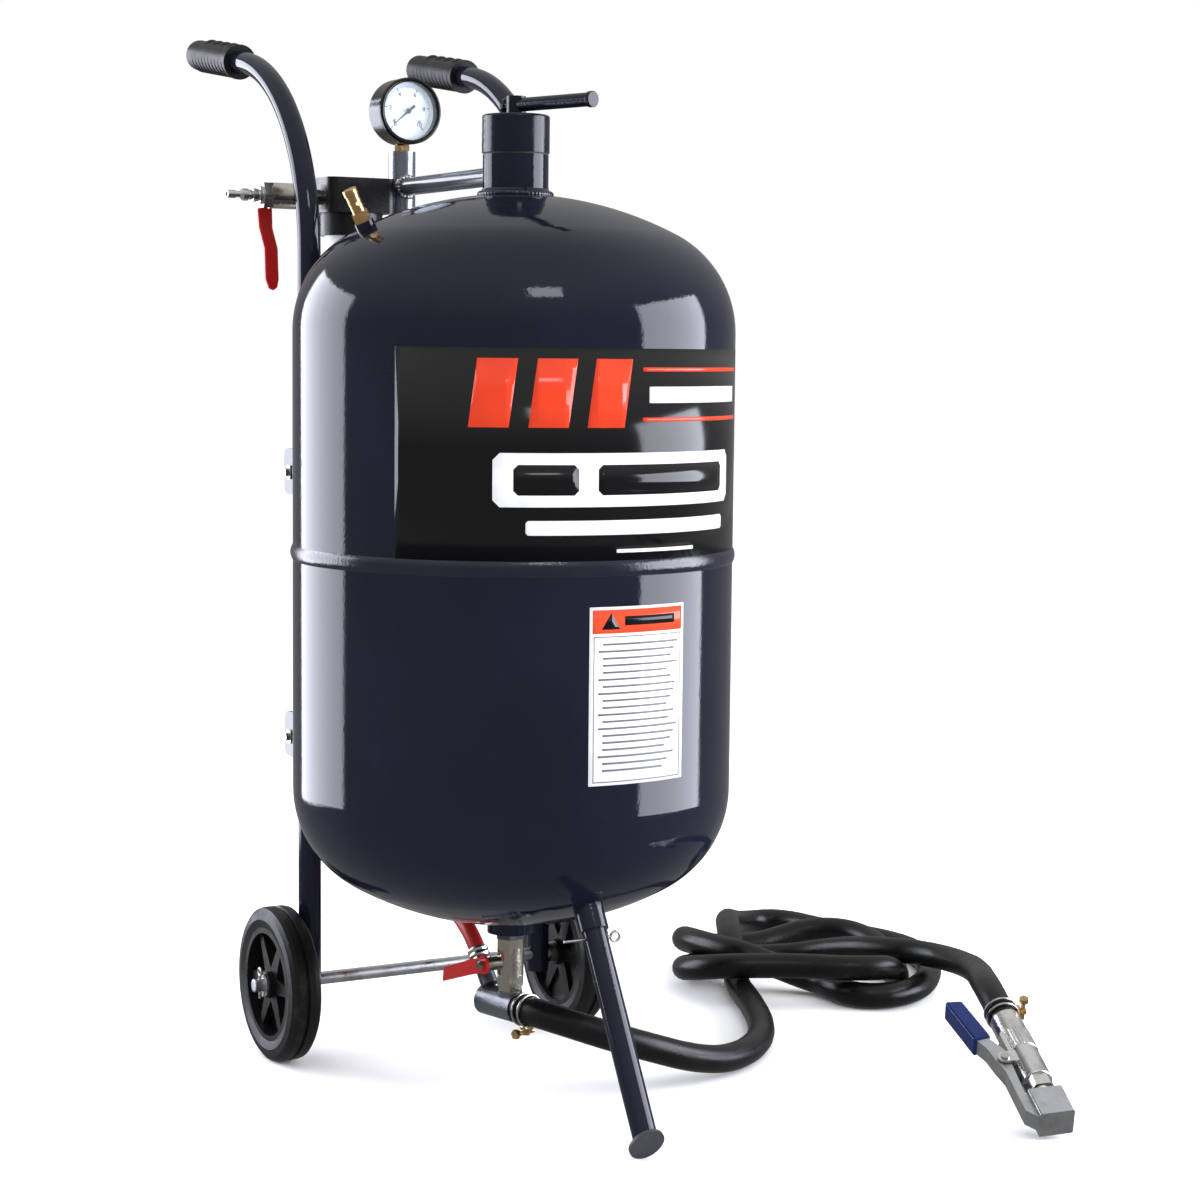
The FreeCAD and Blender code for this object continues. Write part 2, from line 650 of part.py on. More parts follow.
def hose_clamp(origin, along, screw_dir):
    """Double-wire clamp: two wire rings, a block and a hexagon-headed screw."""
    wire_r = 1.2
    ring_r = HOSE_R + wire_r + 0.1
    clamp = rod(origin + along * 5 + screw_dir * (HOSE_R + 3.4), along, 3.2, 12)
    for distance in (7, 15):
        clamp = clamp.fuse(Part.makeTorus(ring_r, wire_r, origin + along * distance, along))
    across = along.cross(screw_dir).normalize()
    screw_at = origin + along * 11 + screw_dir * (HOSE_R + 7.5) - across * 11
    clamp = clamp.fuse(rod(origin + along * 11 + screw_dir * (HOSE_R + 1), screw_dir, 3.4, 9))
    clamp = clamp.fuse(rod(screw_at, across, 2, 20))
    return clamp.fuse(hexagon(screw_at - across * 4, across, 8, 4.5)).removeSplitter()


def tee_hose_clamp():
    return hose_clamp(V(*HOSE_ROUTE[0]), TEE_DIR, V(0, 0, -1))


# ---- blast hose and deadman nozzle -------------------------------------------------
def nozzle_placement():
    """Local X runs along the nozzle and local Y towards its lever."""
    third = NOZZLE_DIR.cross(NOZZLE_SIDE).normalize()
    return frame_at(NOZZLE_AT, third, NOZZLE_DIR)


def at_nozzle(shape):
    return put(shape, nozzle_placement())


def nozzle_holder():
    """Polished holder with a saddle and two ears for the lever pin."""
    pivot_x, pivot_y = LEVER_PIVOT
    barrel = rod(V(0.0, 0, 0), X, HOLDER_R, HOLDER_LEN)
    barrel = rounded(barrel, 1.5, lambda edge: edge.Closed)
    saddle = box(26, pivot_x + 8, 8, 15.6, -9.8, 9.8)
    saddle = rounded(saddle, 3, lambda edge: runs_along(edge, Z))
    body = barrel.fuse(saddle)
    for ear_z in (-10.8, 8.8):
        ear = box(pivot_x - 7, pivot_x + 7, 6, pivot_y, ear_z, ear_z + 2)
        ear = ear.fuse(rod(V(pivot_x, pivot_y, ear_z), Z, 7, 2))
        body = body.fuse(ear)
    body = body.cut(rod(V(-5, 0, 0), X, HOSE_BORE, HOLDER_LEN + 10))
    return at_nozzle(body.cut(rod(V(pivot_x, pivot_y, -15), Z, 2.5, 30)).removeSplitter())


def nozzle_nut():
    nut = hexagon(V(HOLDER_LEN, 0, 0), X, 24, 14)
    return at_nozzle(nut.cut(rod(V(HOLDER_LEN - 1, 0, 0), X, 7, 20)))


def ceramic_nozzle():
    tip = rod(V(HOLDER_LEN, 0, 0), X, 7, 17)
    tip = tip.cut(rod(V(HOLDER_LEN - 1, 0, 0), X, 2, 30))
    return at_nozzle(tip)


def nozzle_seal():
    return at_nozzle(rod(V(HOLDER_LEN + 17.4, 0, 0), X, 8, 5))


def deadman_lever():
    """Channel lever: grip end, hump at the pivot, and a block over the nozzle's tip."""
    pivot_x, pivot_y = LEVER_PIVOT
    outer = [(-24, 48), (-22, 38), (30, 27), (50, 17.4), (72, 17.4), (112, 19), (116, 14),
             (116, -14), (146, -14), (146, 16), (134, 26), (80, 26), (62, 30), (44, 33), (30, 39)]
    body = plate(outer, LEVER_HALF_W)
    inner = [(-30, 30), (30, 19), (48, 12), (74, 12), (110, 12), (110, 21.5), (78, 22.5),
             (62, 26.5), (42, 29.5), (28, 35.5), (-30, 45.5)]
    body = body.cut(plate(inner, LEVER_HALF_W - 1.5))
    block = box(112, 147, -15, 17, -13, 13)
    block = rounded(block, 2, lambda edge: runs_along(edge, X))
    body = body.fuse(block)
    body = body.cut(rod(V(pivot_x, pivot_y, -15), Z, 2.5 + FIT, 30))
    return at_nozzle(body.cut(rod(V(HOLDER_LEN + 17.4, 0, 0), X, 8, 5)).removeSplitter())


def lever_grip():
    outer = [(-27, 51), (-25, 34.6), (30, 24), (33, 40.6)]
    sleeve = rounded(plate(outer, LEVER_HALF_W + 2), 2.5, lambda edge: True)
    hollow = [(-24, 48), (-22, 38), (30, 27), (40, 25), (44, 33), (30, 39)]
    sleeve = sleeve.cut(plate(hollow, LEVER_HALF_W))
    return at_nozzle(max(sleeve.Solids, key=lambda solid: solid.Volume))


def lever_pin():
    pivot_x, pivot_y = LEVER_PIVOT
    pin = rod(V(pivot_x, pivot_y, -12.5), Z, 2.5, 25)
    for z in (-12.5, 10.8):
        pin = pin.fuse(rod(V(pivot_x, pivot_y, z), Z, 4, 1.7))
    return at_nozzle(pin.removeSplitter())


def nozzle_hose_clamp():
    side = V(NOZZLE_SIDE).normalize()
    return hose_clamp(NOZZLE_AT, NOZZLE_DIR * -1, side * -1)


# ---- air inlet and manifold --------------------------------------------------------
def manifold_pipe():
    """Riser with a closed top, a gauge port, and a hose barb below."""
    height = MANIFOLD_TOP - MANIFOLD_BOTTOM
    foot = V(0, MANIFOLD_Y, MANIFOLD_BOTTOM)
    body = rod(foot, Z, MANIFOLD_R, height).cut(rod(foot + Z * 6, Z, MANIFOLD_BORE, height - 12))
    body = body.fuse(hexagon(foot, Z * -1, 22, 10))
    body = body.fuse(rod(foot, Z * -1, AIR_HOSE_BORE - 0.1, 38))
    body = body.cut(rod(foot - Z * 40, Z, 3, 60))
    body = body.cut(rod(V(0, MANIFOLD_Y, MANIFOLD_TOP - 10), Z, 5, 20))
    body = body.cut(rod(V(0, MANIFOLD_Y, CROSSOVER_Z), Y * -1, 6.5, 40))
    return body.cut(rod(V(0, MANIFOLD_Y, INLET_Z), X * -1, 6.5, 40)).removeSplitter()


def crossover_pipe():
    pipe_run = pipe(V(0, NECK_R - 6, CROSSOVER_Z), Y, CROSSOVER_R, 6.5, MANIFOLD_Y - NECK_R)
    pipe_run = pipe_run.cut(rod(V(0, 0, 800), Z, NECK_R, 100))
    pipe_run = pipe_run.cut(rod(V(0, MANIFOLD_Y, 800), Z, MANIFOLD_R, 100))
    return max(pipe_run.Solids, key=lambda solid: solid.Volume)


def gauge_fitting():
    body = hexagon(V(0, MANIFOLD_Y, MANIFOLD_TOP), Z, 14, 6)
    body = body.fuse(rod(V(0, MANIFOLD_Y, MANIFOLD_TOP - 7), Z, 5, 18))
    return body.cut(rod(V(0, MANIFOLD_Y, MANIFOLD_TOP - 10), Z, 2, 30)).removeSplitter()


def gauge_case():
    front = V(0, GAUGE_FRONT, GAUGE_Z)
    case = rounded(rod(front, Y, GAUGE_R, GAUGE_BACK - GAUGE_FRONT), 1.5, lambda edge: edge.Closed)
    case = case.cut(rod(front - Y, Y, GAUGE_R - 4, 17))
    boss = rod(V(0, MANIFOLD_Y, MANIFOLD_TOP + 6), Z, 6.8, 7)
    boss = boss.cut(rod(front, Y, GAUGE_R - 3, 60))
    case = case.fuse(boss)
    return case.cut(rod(V(0, MANIFOLD_Y, MANIFOLD_TOP), Z, 5, 18)).removeSplitter()


def gauge_dial():
    disc = rod(V(0, GAUGE_FRONT + 9, GAUGE_Z), Y, GAUGE_R - 4, 1.2)
    return disc.cut(rod(V(0, GAUGE_FRONT, GAUGE_Z), Y, 1.2, 20))


def gauge_lens():
    return rod(V(0, GAUGE_FRONT + 1.5, GAUGE_Z), Y, GAUGE_R - 4, 1.8)


def gauge_pointer():
    """Tapered pointer with a counterweight, turned to its zero stop."""
    outline = [V(-9, 0, -1.6), V(-4, 0, -1.2), V(21, 0, -0.35), V(21, 0, 0.35), V(-4, 0, 1.2),
               V(-9, 0, 1.6)]
    blade = Part.Face(Part.makePolygon(outline + [outline[0]])).extrude(Y * 0.6)
    blade = blade.fuse(rod(V(0, -0.4, 0), Y, 2.6, 1.2))
    blade = blade.fuse(rod(V(0, 0, 0), Y, 1.1, 4.5))
    blade.rotate(V(0, 0, 0), Y, -math.degrees(POINTER_ANGLE))
    blade.translate(V(0, GAUGE_FRONT + 5.5, GAUGE_Z))
    return blade.removeSplitter()


def filter_head():
    head = box(-91, -19, MANIFOLD_Y - 31, MANIFOLD_Y + 31, 824, 858)
    head = rounded(head, 9, lambda edge: runs_along(edge, Z))
    head = head.fuse(rod(V(FILTER_X, MANIFOLD_Y, 802), Z, 31, 23))
    head = head.fuse(rod(V(-19, MANIFOLD_Y, INLET_Z), X, 9.5, 8))
    head = head.cut(rod(V(0, MANIFOLD_Y, 800), Z, MANIFOLD_R, 80))
    head = head.cut(rod(V(FILTER_X, MANIFOLD_Y, 801), Z, 27, 24))
    return head.cut(rod(V(-95, MANIFOLD_Y, INLET_Z), X, 6.5, 100)).removeSplitter()


def filter_bowl():
    bowl = rod(V(FILTER_X, MANIFOLD_Y, 722), Z, 27, 102)
    bowl = rounded(bowl, 9, lambda edge: edge.Closed and edge.BoundBox.ZMax < 723)
    bowl = bowl.cut(rod(V(FILTER_X, MANIFOLD_Y, 726), Z, 24, 110))
    return bowl.cut(rod(V(FILTER_X, MANIFOLD_Y, 700), Z, 3 + FIT, 40))


def filter_drain():
    button = rod(V(FILTER_X, MANIFOLD_Y, 707), Z, 6, 11)
    button = button.fuse(rod(V(FILTER_X, MANIFOLD_Y, 716), Z, 3, 14))
    return button.fuse(rod(V(FILTER_X, MANIFOLD_Y, 726.3), Z, 5, 3)).removeSplitter()


def inlet_placement():
    """The inlet valve's run lies along X and its stem looks towards +Y."""
    return frame_at(V(INLET_BALL_X, MANIFOLD_Y, INLET_Z), X, Y)


def inlet_valve_body():
    body = put(valve_body(34, 16), inlet_placement())
    nipple = pipe(V(-101, MANIFOLD_Y, INLET_Z), X, 7.5, 5, 10)
    return body.fuse(nipple).removeSplitter()


def inlet_valve_stem():
    return put(valve_stem(), inlet_placement())


def inlet_lever():
    """Dipped handle that hangs from the stem, with a slight inward crank."""
    points = [(0, 8), (7, 8), (8.5, -14), (7, -30), (1.5, -50), (0.5, -80), (-3, -89), (-8, -91),
              (-12, -88), (-13.5, -80), (-12.5, -50), (-7, -30), (-6.5, -10), (-8, 0)]
    outline = [V(LEVER_AT, y, z) for y, z in points]
    blade = Part.Face(Part.makePolygon(outline + [outline[0]])).extrude(X * 4.5)
    blade = rounded(blade, 1.6, lambda edge: True)
    blade = blade.fuse(rod(V(LEVER_AT, 0, 0), X, 9, 2.9))
    blade = blade.cut(rod(V(LEVER_AT + 2.9, 0, 0), X, 9.2, 5))
    blade = blade.cut(rod(V(0, 0, 0), X, STEM_R, 60)).removeSplitter()
    turn = FreeCAD.Rotation(Z, 90)
    return put(blade, FreeCAD.Placement(V(INLET_BALL_X, MANIFOLD_Y, INLET_Z), turn))


def quick_plug():
    """Quarter-inch air plug; the nose is what a coupler closes on."""
    outline = [(2.6, 0), (9, 0), (9, 3), (6.5, 3.5), (6.5, 9), (4.8, 9.5), (4.8, 13), (5.9, 14),
               (5.9, 19), (4.9, 20), (3.0, 22), (3.0, 26), (3.9, 26.5), (3.9, 35), (2.6, 35)]
    plug = put(lathe(outline), frame_at(V(-150, MANIFOLD_Y, INLET_Z), X * -1))
    return plug


# ---- relief valve ------------------------------------------------------------------
def relief_bung():
    at, normal = relief_axis()
    return pipe(at - normal * 5, normal, 9, 5, 12)


def relief_valve():
    at, normal = relief_axis()
    base = at + normal * 7
    body = rod(base - normal * 10, normal, 5, 10).fuse(hexagon(base, normal, 14, 9))
    body = body.fuse(rod(base + normal * 9, normal, 6, 16))
    body = body.cut(rod(base - normal * 11, normal, 2, 20))
    body = body.cut(rod(base + normal * 20, normal, 2.2 + FIT, 8))
    return body.cut(rod(base + normal * 17 - Y * 10, Y, 2, 20)).removeSplitter()


def relief_cap():
    at, normal = relief_axis()
    base = at + normal * 32
    cap = rounded(rod(base + normal * 0.3, normal, 6.6, 6), 1.2,
                  lambda edge: edge.Closed and (edge.CenterOfMass - base).Length > 5)
    return cap.fuse(rod(base - normal * 4.5, normal, 2.2, 6)).removeSplitter()


# ---- write every piece -------------------------------------------------------------
def build():
    shell = tank_outside()
    media = media_placement()
    pieces = {
        "tank_upper_shell": tank_upper_shell(),
        "tank_lower_shell": tank_lower_shell(),
        "girth_weld": girth_weld(),
        "filler_neck": filler_neck(),
        "cap_gasket": cap_gasket(),
        "filler_cap": filler_cap(),
        "tommy_bar": tommy_bar(),
        "tube_brackets": tube_brackets(),
        "bracket_bolts": bracket_bolts(),
        "bracket_nuts": bracket_nuts(),
        "axle": axle(),
        "axle_washers": axle_washers(),
        "cotter_pins": cotter_pins(),
        "leg_socket": leg_socket(shell),
        "front_leg": front_leg(),
        "leg_foot": leg_foot(),
        "leg_pin": leg_pin(),
        "outlet_flange": outlet_flange(shell),
        "outlet_bushing": outlet_bushing(),
        "media_valve_body": put(valve_body(23, 21.5), media),
        "media_valve_stem": put(valve_stem(), media),
        "media_valve_lever": media_lever(),
        "tee_nipple": tee_nipple(),
        "mixing_tee": mixing_tee(),
        "tee_hose_clamp": tee_hose_clamp(),
        "blast_hose": hose(HOSE_ROUTE, HOSE_R, HOSE_BORE, "blast hose"),
        "nozzle_hose_clamp": nozzle_hose_clamp(),
        "nozzle_holder": nozzle_holder(),
        "nozzle_nut": nozzle_nut(),
        "ceramic_nozzle": ceramic_nozzle(),
        "nozzle_seal": nozzle_seal(),
        "deadman_lever": deadman_lever(),
        "lever_grip": lever_grip(),
        "lever_pin": lever_pin(),
        "air_hose": hose(AIR_ROUTE, AIR_HOSE_R, AIR_HOSE_BORE, "air hose"),
        "manifold_pipe": manifold_pipe(),
        "crossover_pipe": crossover_pipe(),
        "gauge_fitting": gauge_fitting(),
        "gauge_case": gauge_case(),
        "gauge_dial": gauge_dial(),
        "gauge_lens": gauge_lens(),
        "gauge_pointer": gauge_pointer(),
        "filter_head": filter_head(),
        "filter_bowl": filter_bowl(),
        "filter_drain": filter_drain(),
        "inlet_valve_body": inlet_valve_body(),
        "inlet_valve_stem": inlet_valve_stem(),
        "inlet_valve_lever": inlet_lever(),
        "quick_plug": quick_plug(),
        "relief_bung": relief_bung(),
        "relief_valve": relief_valve(),
        "relief_cap": relief_cap(),
    }
    for name, side in (("left", -1), ("right", 1)):
        pieces[f"handle_tube_{name}"] = handle_tube(side)
        pieces[f"grip_{name}"] = grip(side)
        pieces[f"wheel_{name}"] = wheel(side)
        pieces[f"tyre_{name}"] = tyre(side)
    return pieces


def write(pieces):
    os.makedirs("parts", exist_ok=True)
    for name, shape in pieces.items():
        moved = shape.copy()
        moved.translate(V(0, TANK_Y, 0))
        moved.exportStep(f"parts/{name}.step")
        if not moved.isValid():
            print("not valid:", name)


write(build())
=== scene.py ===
"""Looks for the portable pressure-pot abrasive blaster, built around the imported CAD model."""
import math

import bmesh
import bpy
from mathutils import Matrix, Vector


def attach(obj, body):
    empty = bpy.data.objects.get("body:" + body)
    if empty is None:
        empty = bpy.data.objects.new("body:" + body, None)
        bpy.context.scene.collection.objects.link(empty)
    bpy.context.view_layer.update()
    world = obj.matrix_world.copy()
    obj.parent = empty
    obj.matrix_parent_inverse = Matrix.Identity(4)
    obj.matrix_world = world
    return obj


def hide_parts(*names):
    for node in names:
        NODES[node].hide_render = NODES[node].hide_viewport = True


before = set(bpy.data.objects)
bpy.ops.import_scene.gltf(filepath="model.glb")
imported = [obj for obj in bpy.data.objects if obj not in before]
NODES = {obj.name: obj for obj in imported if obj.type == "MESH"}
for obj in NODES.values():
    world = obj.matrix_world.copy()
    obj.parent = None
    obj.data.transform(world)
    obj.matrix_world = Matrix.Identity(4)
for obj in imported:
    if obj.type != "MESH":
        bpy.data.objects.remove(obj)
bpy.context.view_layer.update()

# Sizes and places of the CAD model that the added pieces sit on, in metres.
TANK_Y = -0.1089
TANK_R = 0.203
DOME_BASE = 0.708
CROWN_R = 0.325
CROWN_DROP = 0.19943
NECK_R = 0.03015
MANIFOLD_Y = 0.250 + TANK_Y
MANIFOLD_R = 0.01335
CROSSOVER_Z = 0.852
CROSSOVER_R = 0.00875
GAUGE_Z = 0.926
GAUGE_FACE_Y = 0.238 + TANK_Y
GAUGE_RIM_Y = 0.229 + TANK_Y
HOSE_R = 0.0135
HANDLE_X = 0.126
HANDLE_BEND_Y = 0.186 + TANK_Y
HANDLE_BEND_Z = 0.783
HANDLE_BEND_R = 0.195
HANDLE_TURN = math.radians(81.4)

CAMERA_AT = (-1.0937, -2.1531 + TANK_Y, 0.6922)
CAMERA_HEADING = math.radians(-28.85)
CAMERA_DOWN = math.radians(5.46)
CAMERA_ROLL = math.radians(0.56)
CAMERA_LENS_MM = 78.35


# ---- camera ------------------------------------------------------------------------
def make_camera():
    camera = bpy.data.objects.new("camera", bpy.data.cameras.new("camera"))
    bpy.context.scene.collection.objects.link(camera)
    camera.data.lens = CAMERA_LENS_MM
    camera.data.sensor_width = 36.0
    turn = Matrix.Rotation(CAMERA_HEADING, 4, "Z")
    tilt = Matrix.Rotation(math.pi / 2 - CAMERA_DOWN, 4, "X")
    roll = Matrix.Rotation(CAMERA_ROLL, 4, "Z")
    camera.matrix_world = Matrix.Translation(CAMERA_AT) @ turn @ tilt @ roll
    bpy.context.scene.camera = camera


make_camera()


# ---- shape helpers -----------------------------------------------------------------
def link(name, data, material):
    """Put a new piece in the scene, riding on the frame."""
    piece = bpy.data.objects.new(name, data)
    bpy.context.scene.collection.objects.link(piece)
    data.materials.append(material)
    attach(piece, "frame")
    return piece


def mesh_from(make, smooth=True):
    """Mesh whose faces the function make adds to an empty bmesh."""
    bm = bmesh.new()
    make(bm)
    bmesh.ops.recalc_face_normals(bm, faces=bm.faces)
    for face in bm.faces:
        face.smooth = smooth
    mesh = bpy.data.meshes.new("mesh")
    bm.to_mesh(mesh)
    bm.free()
    return mesh


def bridge(bm, loops, closed_ring=False, capped=False):
    """Quads between successive loops; closed_ring joins last to first, capped fills both ends."""
    rings = [[bm.verts.new(p) for p in loop] for loop in loops]
    pairs = list(zip(rings, rings[1:]))
    if closed_ring:
        pairs.append((rings[-1], rings[0]))
    for first, second in pairs:
        count = len(first)
        for i in range(count):
            j = (i + 1) % count
            bm.faces.new((first[i], first[j], second[j], second[i]))
    if capped:
        bm.faces.new(rings[0])
        bm.faces.new(rings[-1])


def around(centre, axis, hint=None):
    """Matrix that puts local Z on axis at centre."""
    axis = Vector(axis).normalized()
    if not hint:
        hint = (1, 0, 0) if abs(axis.x) < 0.9 else (0, 1, 0)
    side = axis.cross(Vector(hint)).normalized()
    return Matrix.Translation(centre) @ Matrix((side.cross(axis), side, axis)).transposed().to_4x4()


def turned(profile, place, steps=48):
    """Closed solid of revolution about local Z from (radius, height) points, as a mesh."""
    def make(bm):
        loops = []
        for k in range(steps):
            a = 2 * math.pi * k / steps
            loops.append([place @ Vector((r * math.cos(a), r * math.sin(a), z))
                          for r, z in profile])
        bridge(bm, loops, closed_ring=True)
    return mesh_from(make)


def bead(path, radius):
    """Weld bead: a tube along the closed path whose thickness ripples like laid weld."""
    ripple = 0.18
    pitch = 0.0035
    sides = 10
    slanted = (0.31, 0.52, 0.79)

    def make(bm):
        length = 0.0
        loops = []
        for k, point in enumerate(path):
            ahead = path[(k + 1) % len(path)]
            place = around(point, ahead - path[k - 1], slanted)
            size = radius * (1 + ripple * abs(math.sin(math.pi * length / pitch)))
            loops.append([place @ Vector((size * math.cos(2 * math.pi * s / sides),
                                          size * math.sin(2 * math.pi * s / sides), 0))
                          for s in range(sides)])
            length += (ahead - point).length
        bridge(bm, loops, closed_ring=True)
    return mesh_from(make)


def ring(centre, axis, radius, steps=120):
    """Points of a circle."""
    place = around(centre, axis)
    return [place @ Vector((radius * math.cos(2 * math.pi * k / steps),
                            radius * math.sin(2 * math.pi * k / steps), 0)) for k in range(steps)]


def curve_line(name, points, radius, material):
    """Round bar along a NURBS line that the points steer."""
    data = bpy.data.curves.new(name, "CURVE")
    data.dimensions = "3D"
    data.bevel_depth = radius
    data.bevel_resolution = 6
    data.use_fill_caps = True
    spline = data.splines.new("NURBS")
    spline.points.add(len(points) - 1)
    for target, point in zip(spline.points, points):
        target.co = (*point, 1.0)
    spline.order_u = 3
    spline.use_endpoint_u = True
    spline.resolution_u = 8
    return link(name, data, material)


# ---- material helpers --------------------------------------------------------------
class Shader:
    """A Principled material under construction, with the node steps that they all share."""

    def __init__(self, name):
        self.material = bpy.data.materials.new(name)
        self.material.use_nodes = True
        self.tree = self.material.node_tree
        self.bsdf = self.tree.nodes["Principled BSDF"]
        self.place = self.tree.nodes.new("ShaderNodeTexCoord").outputs["Object"]

    def feed(self, socket, value):
        """Link another node's output to the socket, or give it a plain value."""
        if isinstance(value, bpy.types.NodeSocket):
            self.tree.links.new(value, socket)
        else:
            socket.default_value = value

    def new(self, kind, **inputs):
        node = self.tree.nodes.new(kind)
        for key, value in inputs.items():
            self.feed(node.inputs[key.replace("_", " ")], value)
        return node

    def set(self, **inputs):
        for key, value in inputs.items():
            self.feed(self.bsdf.inputs[key.replace("_", " ")], value)

    def stretched(self, scale):
        """Object coordinates scaled by (x, y, z)."""
        return self.new("ShaderNodeMapping", Vector=self.place, Scale=scale).outputs["Vector"]

    def noise(self, scale, detail=4.0, rough=0.5, vector=None):
        node = self.new("ShaderNodeTexNoise", Vector=vector or self.place, Scale=scale,
                        Detail=detail, Roughness=rough)
        return node.outputs["Fac"]

    def cells(self, scale):
        return self.new("ShaderNodeTexVoronoi", Vector=self.place, Scale=scale).outputs["Distance"]

    def remap(self, value, low, high, to_low=0.0, to_high=1.0):
        node = self.new("ShaderNodeMapRange", Value=value, From_Min=low, From_Max=high,
                        To_Min=to_low, To_Max=to_high)
        return node.outputs["Result"]

    def mixed(self, factor, first, second):
        """Mix two colours; the colour sockets are the ones numbered 6, 7 and, going out, 2."""
        node = self.tree.nodes.new("ShaderNodeMix")
        node.data_type = "RGBA"
        self.feed(node.inputs[0], factor)
        for socket, colour in ((node.inputs[6], first), (node.inputs[7], second)):
            self.feed(socket, (*colour, 1.0) if isinstance(colour, tuple) else colour)
        return node.outputs[2]

    def bump(self, height, strength, distance=0.001, under=None):
        node = self.new("ShaderNodeBump", Height=height, Strength=strength, Distance=distance)
        if under:
            self.tree.links.new(under, node.inputs["Normal"])
        return node.outputs["Normal"]


def tone(colour, factor):
    """The colour made lighter or darker."""
    return tuple(min(1.0, c * factor) for c in colour)


def coated(name, colour, rough=0.22, coat=0.6, peel=0.05, worn=None, specular=0.5, metallic=0.0):
    """Sprayed or powder coated metal with orange peel and dust and, where worn, rubbed patches."""
    s = Shader(name)
    base = s.mixed(s.remap(s.noise(9.0), 0.35, 0.65), tone(colour, 0.88), tone(colour, 1.12))
    dust = s.remap(s.noise(60.0, 8.0, 0.65), 0.56, 0.8, 0.0, 0.10)
    base = s.mixed(dust, base, tone(colour, 2.2))
    if worn:
        base = s.mixed(s.remap(s.noise(95.0, 8.0, 0.7), 0.63, 0.72, 0.0, 0.6), base, worn)
    s.set(Base_Color=base, Metallic=metallic, Specular_IOR_Level=specular,
          Roughness=s.remap(s.noise(34.0, 6.0), 0.3, 0.7, rough * 0.8, rough * 1.25),
          Coat_Weight=coat, Coat_Roughness=0.045, Coat_IOR=1.5,
          Normal=s.bump(s.noise(420.0, 2.0), peel))
    return s.material


def metal(name, colour, rough, grain=(60.0, 60.0, 60.0), scratch=0.15, cast=0.0, stain=None):
    """Bare or plated metal: brushed grain, tarnish and, where cast, a pitted skin."""
    s = Shader(name)
    streaks = s.noise(9.0, 7.0, 0.6, s.stretched(grain))
    base = s.mixed(s.remap(streaks, 0.3, 0.7), tone(colour, 0.82), tone(colour, 1.08))
    base = s.mixed(s.remap(s.noise(45.0, 6.0, 0.6), 0.52, 0.75, 0.0, 0.5), base,
                   stain or tone(colour, 0.55))
    normal = s.bump(streaks, scratch, 0.0004)
    if cast:
        normal = s.bump(s.cells(700.0), cast, 0.0008, normal)
    s.set(Base_Color=base, Metallic=1.0, Normal=normal,
          Roughness=s.remap(s.noise(70.0, 6.0), 0.3, 0.7, rough * 0.7, rough * 1.5))
    return s.material


def moulded(name, colour, rough, grain=0.12, scale=900.0, dust=0.1, pale=None, specular=0.5):
    """Rubber or plastic with a moulded skin, scuffs and a little dust."""
    s = Shader(name)
    base = s.mixed(s.remap(s.noise(14.0), 0.35, 0.65), tone(colour, 0.85), tone(colour, 1.2))
    scuffs = s.remap(s.noise(75.0, 8.0, 0.7), 0.55, 0.8, 0.0, dust)
    base = s.mixed(scuffs, base, pale or (0.1, 0.1, 0.1))
    s.set(Base_Color=base, Specular_IOR_Level=specular,
          Roughness=s.remap(s.noise(50.0, 6.0), 0.3, 0.7, rough * 0.8, rough * 1.25),
          Normal=s.bump(s.noise(scale, 3.0), grain))
    return s.material


def printed(name, colour, rough=0.12):
    """Vinyl print: slight mottling, a soft sheen and tiny wrinkles."""
    s = Shader(name)
    base = s.mixed(s.remap(s.noise(30.0, 6.0), 0.35, 0.65), tone(colour, 0.93), tone(colour, 1.04))
    s.set(Base_Color=base, Specular_IOR_Level=0.32,
          Roughness=s.remap(s.noise(90.0, 5.0), 0.3, 0.7, rough * 0.92, rough * 1.1),
          Normal=s.bump(s.noise(140.0, 3.0), 0.03))
    return s.material


def clear(name, colour, rough, cover):
    """Clear or milky plastic: cover is how much of what lies behind it is hidden."""
    s = Shader(name)
    base = s.mixed(s.noise(50.0, 4.0), tone(colour, 0.94), colour)
    s.set(Base_Color=base, IOR=1.49, Alpha=cover,
          Roughness=s.remap(s.noise(120.0, 5.0), 0.3, 0.7, rough * 0.7, rough * 1.4),
          Normal=s.bump(s.noise(200.0, 3.0), 0.02))
    return s.material


